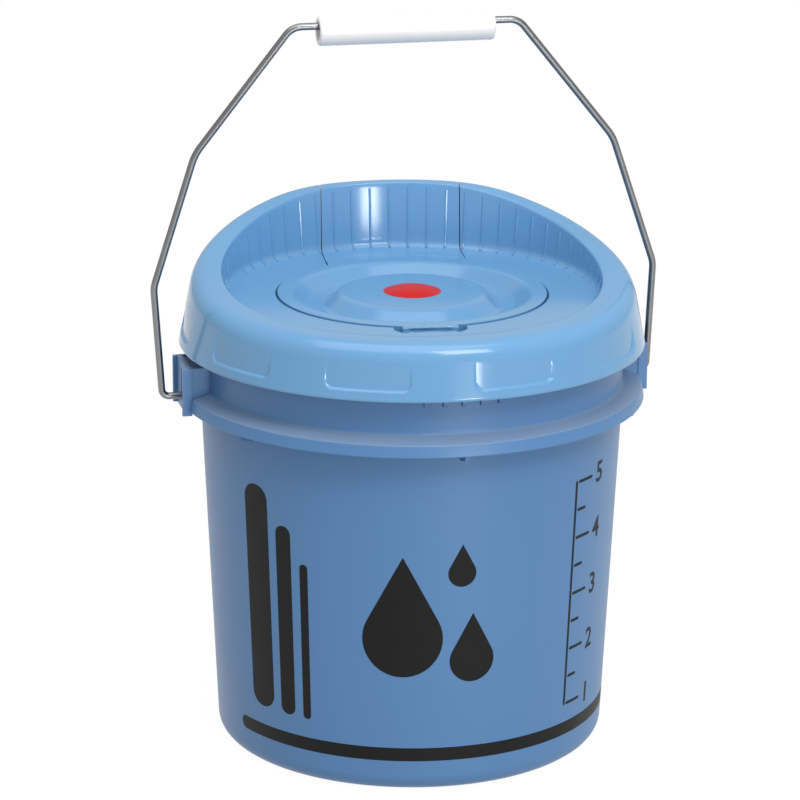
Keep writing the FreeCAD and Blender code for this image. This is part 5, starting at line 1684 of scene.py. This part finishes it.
class DISPENSER_OT_stage(bpy.types.Operator):
    """Set the floor, the soft lights and the camera"""
    bl_idname = "dispenser.stage"
    bl_label = "Stage"

    def execute(self, context):
        scene = context.scene
        scene.view_settings.view_transform = "Standard"
        sweep = block((-FLOOR_REACH, -FLOOR_REACH, FLOOR_BASE),
                      (FLOOR_REACH, FLOOR_REACH, FLOOR_TOP))
        floor = make_object("studio_floor", sweep, self.floor_material())
        for name, place, aim, width, height, watts in LAMPS:
            light = bpy.data.lights.new(name, "AREA")
            light.shape = "RECTANGLE"
            light.size, light.size_y = width * MM, height * MM
            light.energy = watts
            lamp = bpy.data.objects.new(name, light)
            lamp.location = Vector(place) * MM
            towards = Vector(aim) - Vector(place)
            lamp.rotation_euler = towards.to_track_quat("-Z", "Y").to_euler()
            scene.collection.objects.link(lamp)
        self.light_world(scene)
        lens = bpy.data.cameras.new("photo_camera")
        lens.lens = CAMERA_LENS
        lens.sensor_width = 36.0
        lens.clip_end = 100.0
        camera = bpy.data.objects.new("photo_camera", lens)
        camera.matrix_world = (Matrix.Translation(Vector(CAMERA_PLACE) * MM)
                               @ Matrix.Rotation(CAMERA_HEADING, 4, "Z")
                               @ Matrix.Rotation(math.pi / 2 - CAMERA_PITCH, 4, "X")
                               @ Matrix.Rotation(CAMERA_ROLL, 4, "Z"))
        scene.collection.objects.link(camera)
        scene.camera = camera
        return {"FINISHED"}

    @staticmethod
    def floor_material():
        """White studio sweep: plain matt paint, near white paper to the camera and reflections."""
        material, tree, shader, place = start_material("studio_white")
        cloud = add_node(tree, "ShaderNodeTexNoise", {
            "Vector": place, "Scale": 1 / (900 * MM), "Detail": 2.0, "Roughness": 0.5})
        tint = add_node(tree, "ShaderNodeMix", {
            SHARE: cloud.outputs["Fac"], FIRST: linear("#AEAFB1"), SECOND: linear("#B4B4B4")},
            data_type="RGBA")
        feed(tree, shader, {"Base Color": tint.outputs[MIXED], "Roughness": 0.9})
        glow = add_node(tree, "ShaderNodeEmission", {"Color": WHITE, "Strength": FLOOR_GLOW})
        ray = add_node(tree, "ShaderNodeLightPath").outputs
        seen = add_node(tree, "ShaderNodeMath", {
            0: ray["Is Camera Ray"], 1: ray["Is Glossy Ray"]}, operation="MAXIMUM")
        part = add_node(tree, "ShaderNodeMath", {
            0: seen.outputs["Value"], 1: GLOW_SHARE}, operation="MULTIPLY")
        both = add_node(tree, "ShaderNodeMixShader", {
            "Fac": part.outputs["Value"], 1: shader.outputs["BSDF"],
            2: glow.outputs["Emission"]})
        feed(tree, tree.nodes["Material Output"], {"Surface": both.outputs["Shader"]})
        return material

    @staticmethod
    def light_world(scene):
        """Even grey room light, shown as white to the camera and paler to reflections."""
        world = bpy.data.worlds.new("studio_room")
        scene.world = world
        world.use_nodes = True
        tree = world.node_tree
        tree.nodes.clear()
        ray = add_node(tree, "ShaderNodeLightPath").outputs
        mirrored = add_node(tree, "ShaderNodeMath", {
            0: ray["Is Glossy Ray"], 1: MIRRORED_SHARE}, operation="MULTIPLY")
        seen = add_node(tree, "ShaderNodeMath", {
            0: ray["Is Camera Ray"], 1: mirrored.outputs["Value"]}, operation="MAXIMUM")
        strength = add_node(tree, "ShaderNodeMapRange", {
            "Value": seen.outputs["Value"], "To Min": AMBIENT, "To Max": 1.0})
        room = add_node(tree, "ShaderNodeBackground", {
            "Color": WHITE, "Strength": strength.outputs["Result"]})
        add_node(tree, "ShaderNodeOutputWorld", {"Surface": room.outputs["Background"]})


# ---------------------------------------------------------------- panel and registration

GROUPS = {
    "dispenser_bucket": BucketSizes,
    "dispenser_lid": LidSizes,
    "dispenser_cover": CoverSizes,
    "dispenser_bail": BailSizes,
    "dispenser_finishes": Finishes,
}
STEPS = (DISPENSER_OT_bucket, DISPENSER_OT_print, DISPENSER_OT_roll, DISPENSER_OT_lid,
         DISPENSER_OT_cover, DISPENSER_OT_stopper, DISPENSER_OT_nozzle, DISPENSER_OT_bail,
         DISPENSER_OT_stage)


class DISPENSER_PT_panel(bpy.types.Panel):
    """Sizes, colours and building steps of the dispenser"""
    bl_idname = "DISPENSER_PT_panel"
    bl_label = "Wipe Roll Dispenser"
    bl_space_type = "VIEW_3D"
    bl_region_type = "UI"
    bl_category = "Dispenser"

    def draw(self, context):
        for key in GROUPS:
            group = getattr(context.scene, key)
            box = self.layout.box()
            box.label(text=group.bl_rna.description)
            for prop in own_properties(group):
                box.prop(group, prop.identifier)
        for step in STEPS:
            self.layout.operator(step.bl_idname)


def register():
    """Register the classes and hang the property groups on the scene."""
    for made in (*GROUPS.values(), *STEPS, DISPENSER_PT_panel):
        bpy.utils.register_class(made)
    for key, group in GROUPS.items():
        setattr(bpy.types.Scene, key, bpy.props.PointerProperty(type=group))


def unregister():
    """Take the property groups and the classes away again."""
    for key in GROUPS:
        delattr(bpy.types.Scene, key)
    for made in (DISPENSER_PT_panel, *reversed(STEPS), *reversed(GROUPS.values())):
        bpy.utils.unregister_class(made)


def main():
    """Build everything in order."""
    register()
    for step in STEPS:
        group, name = step.bl_idname.split(".")
        getattr(getattr(bpy.ops, group), name)()


if __name__ == "__main__":
    main()
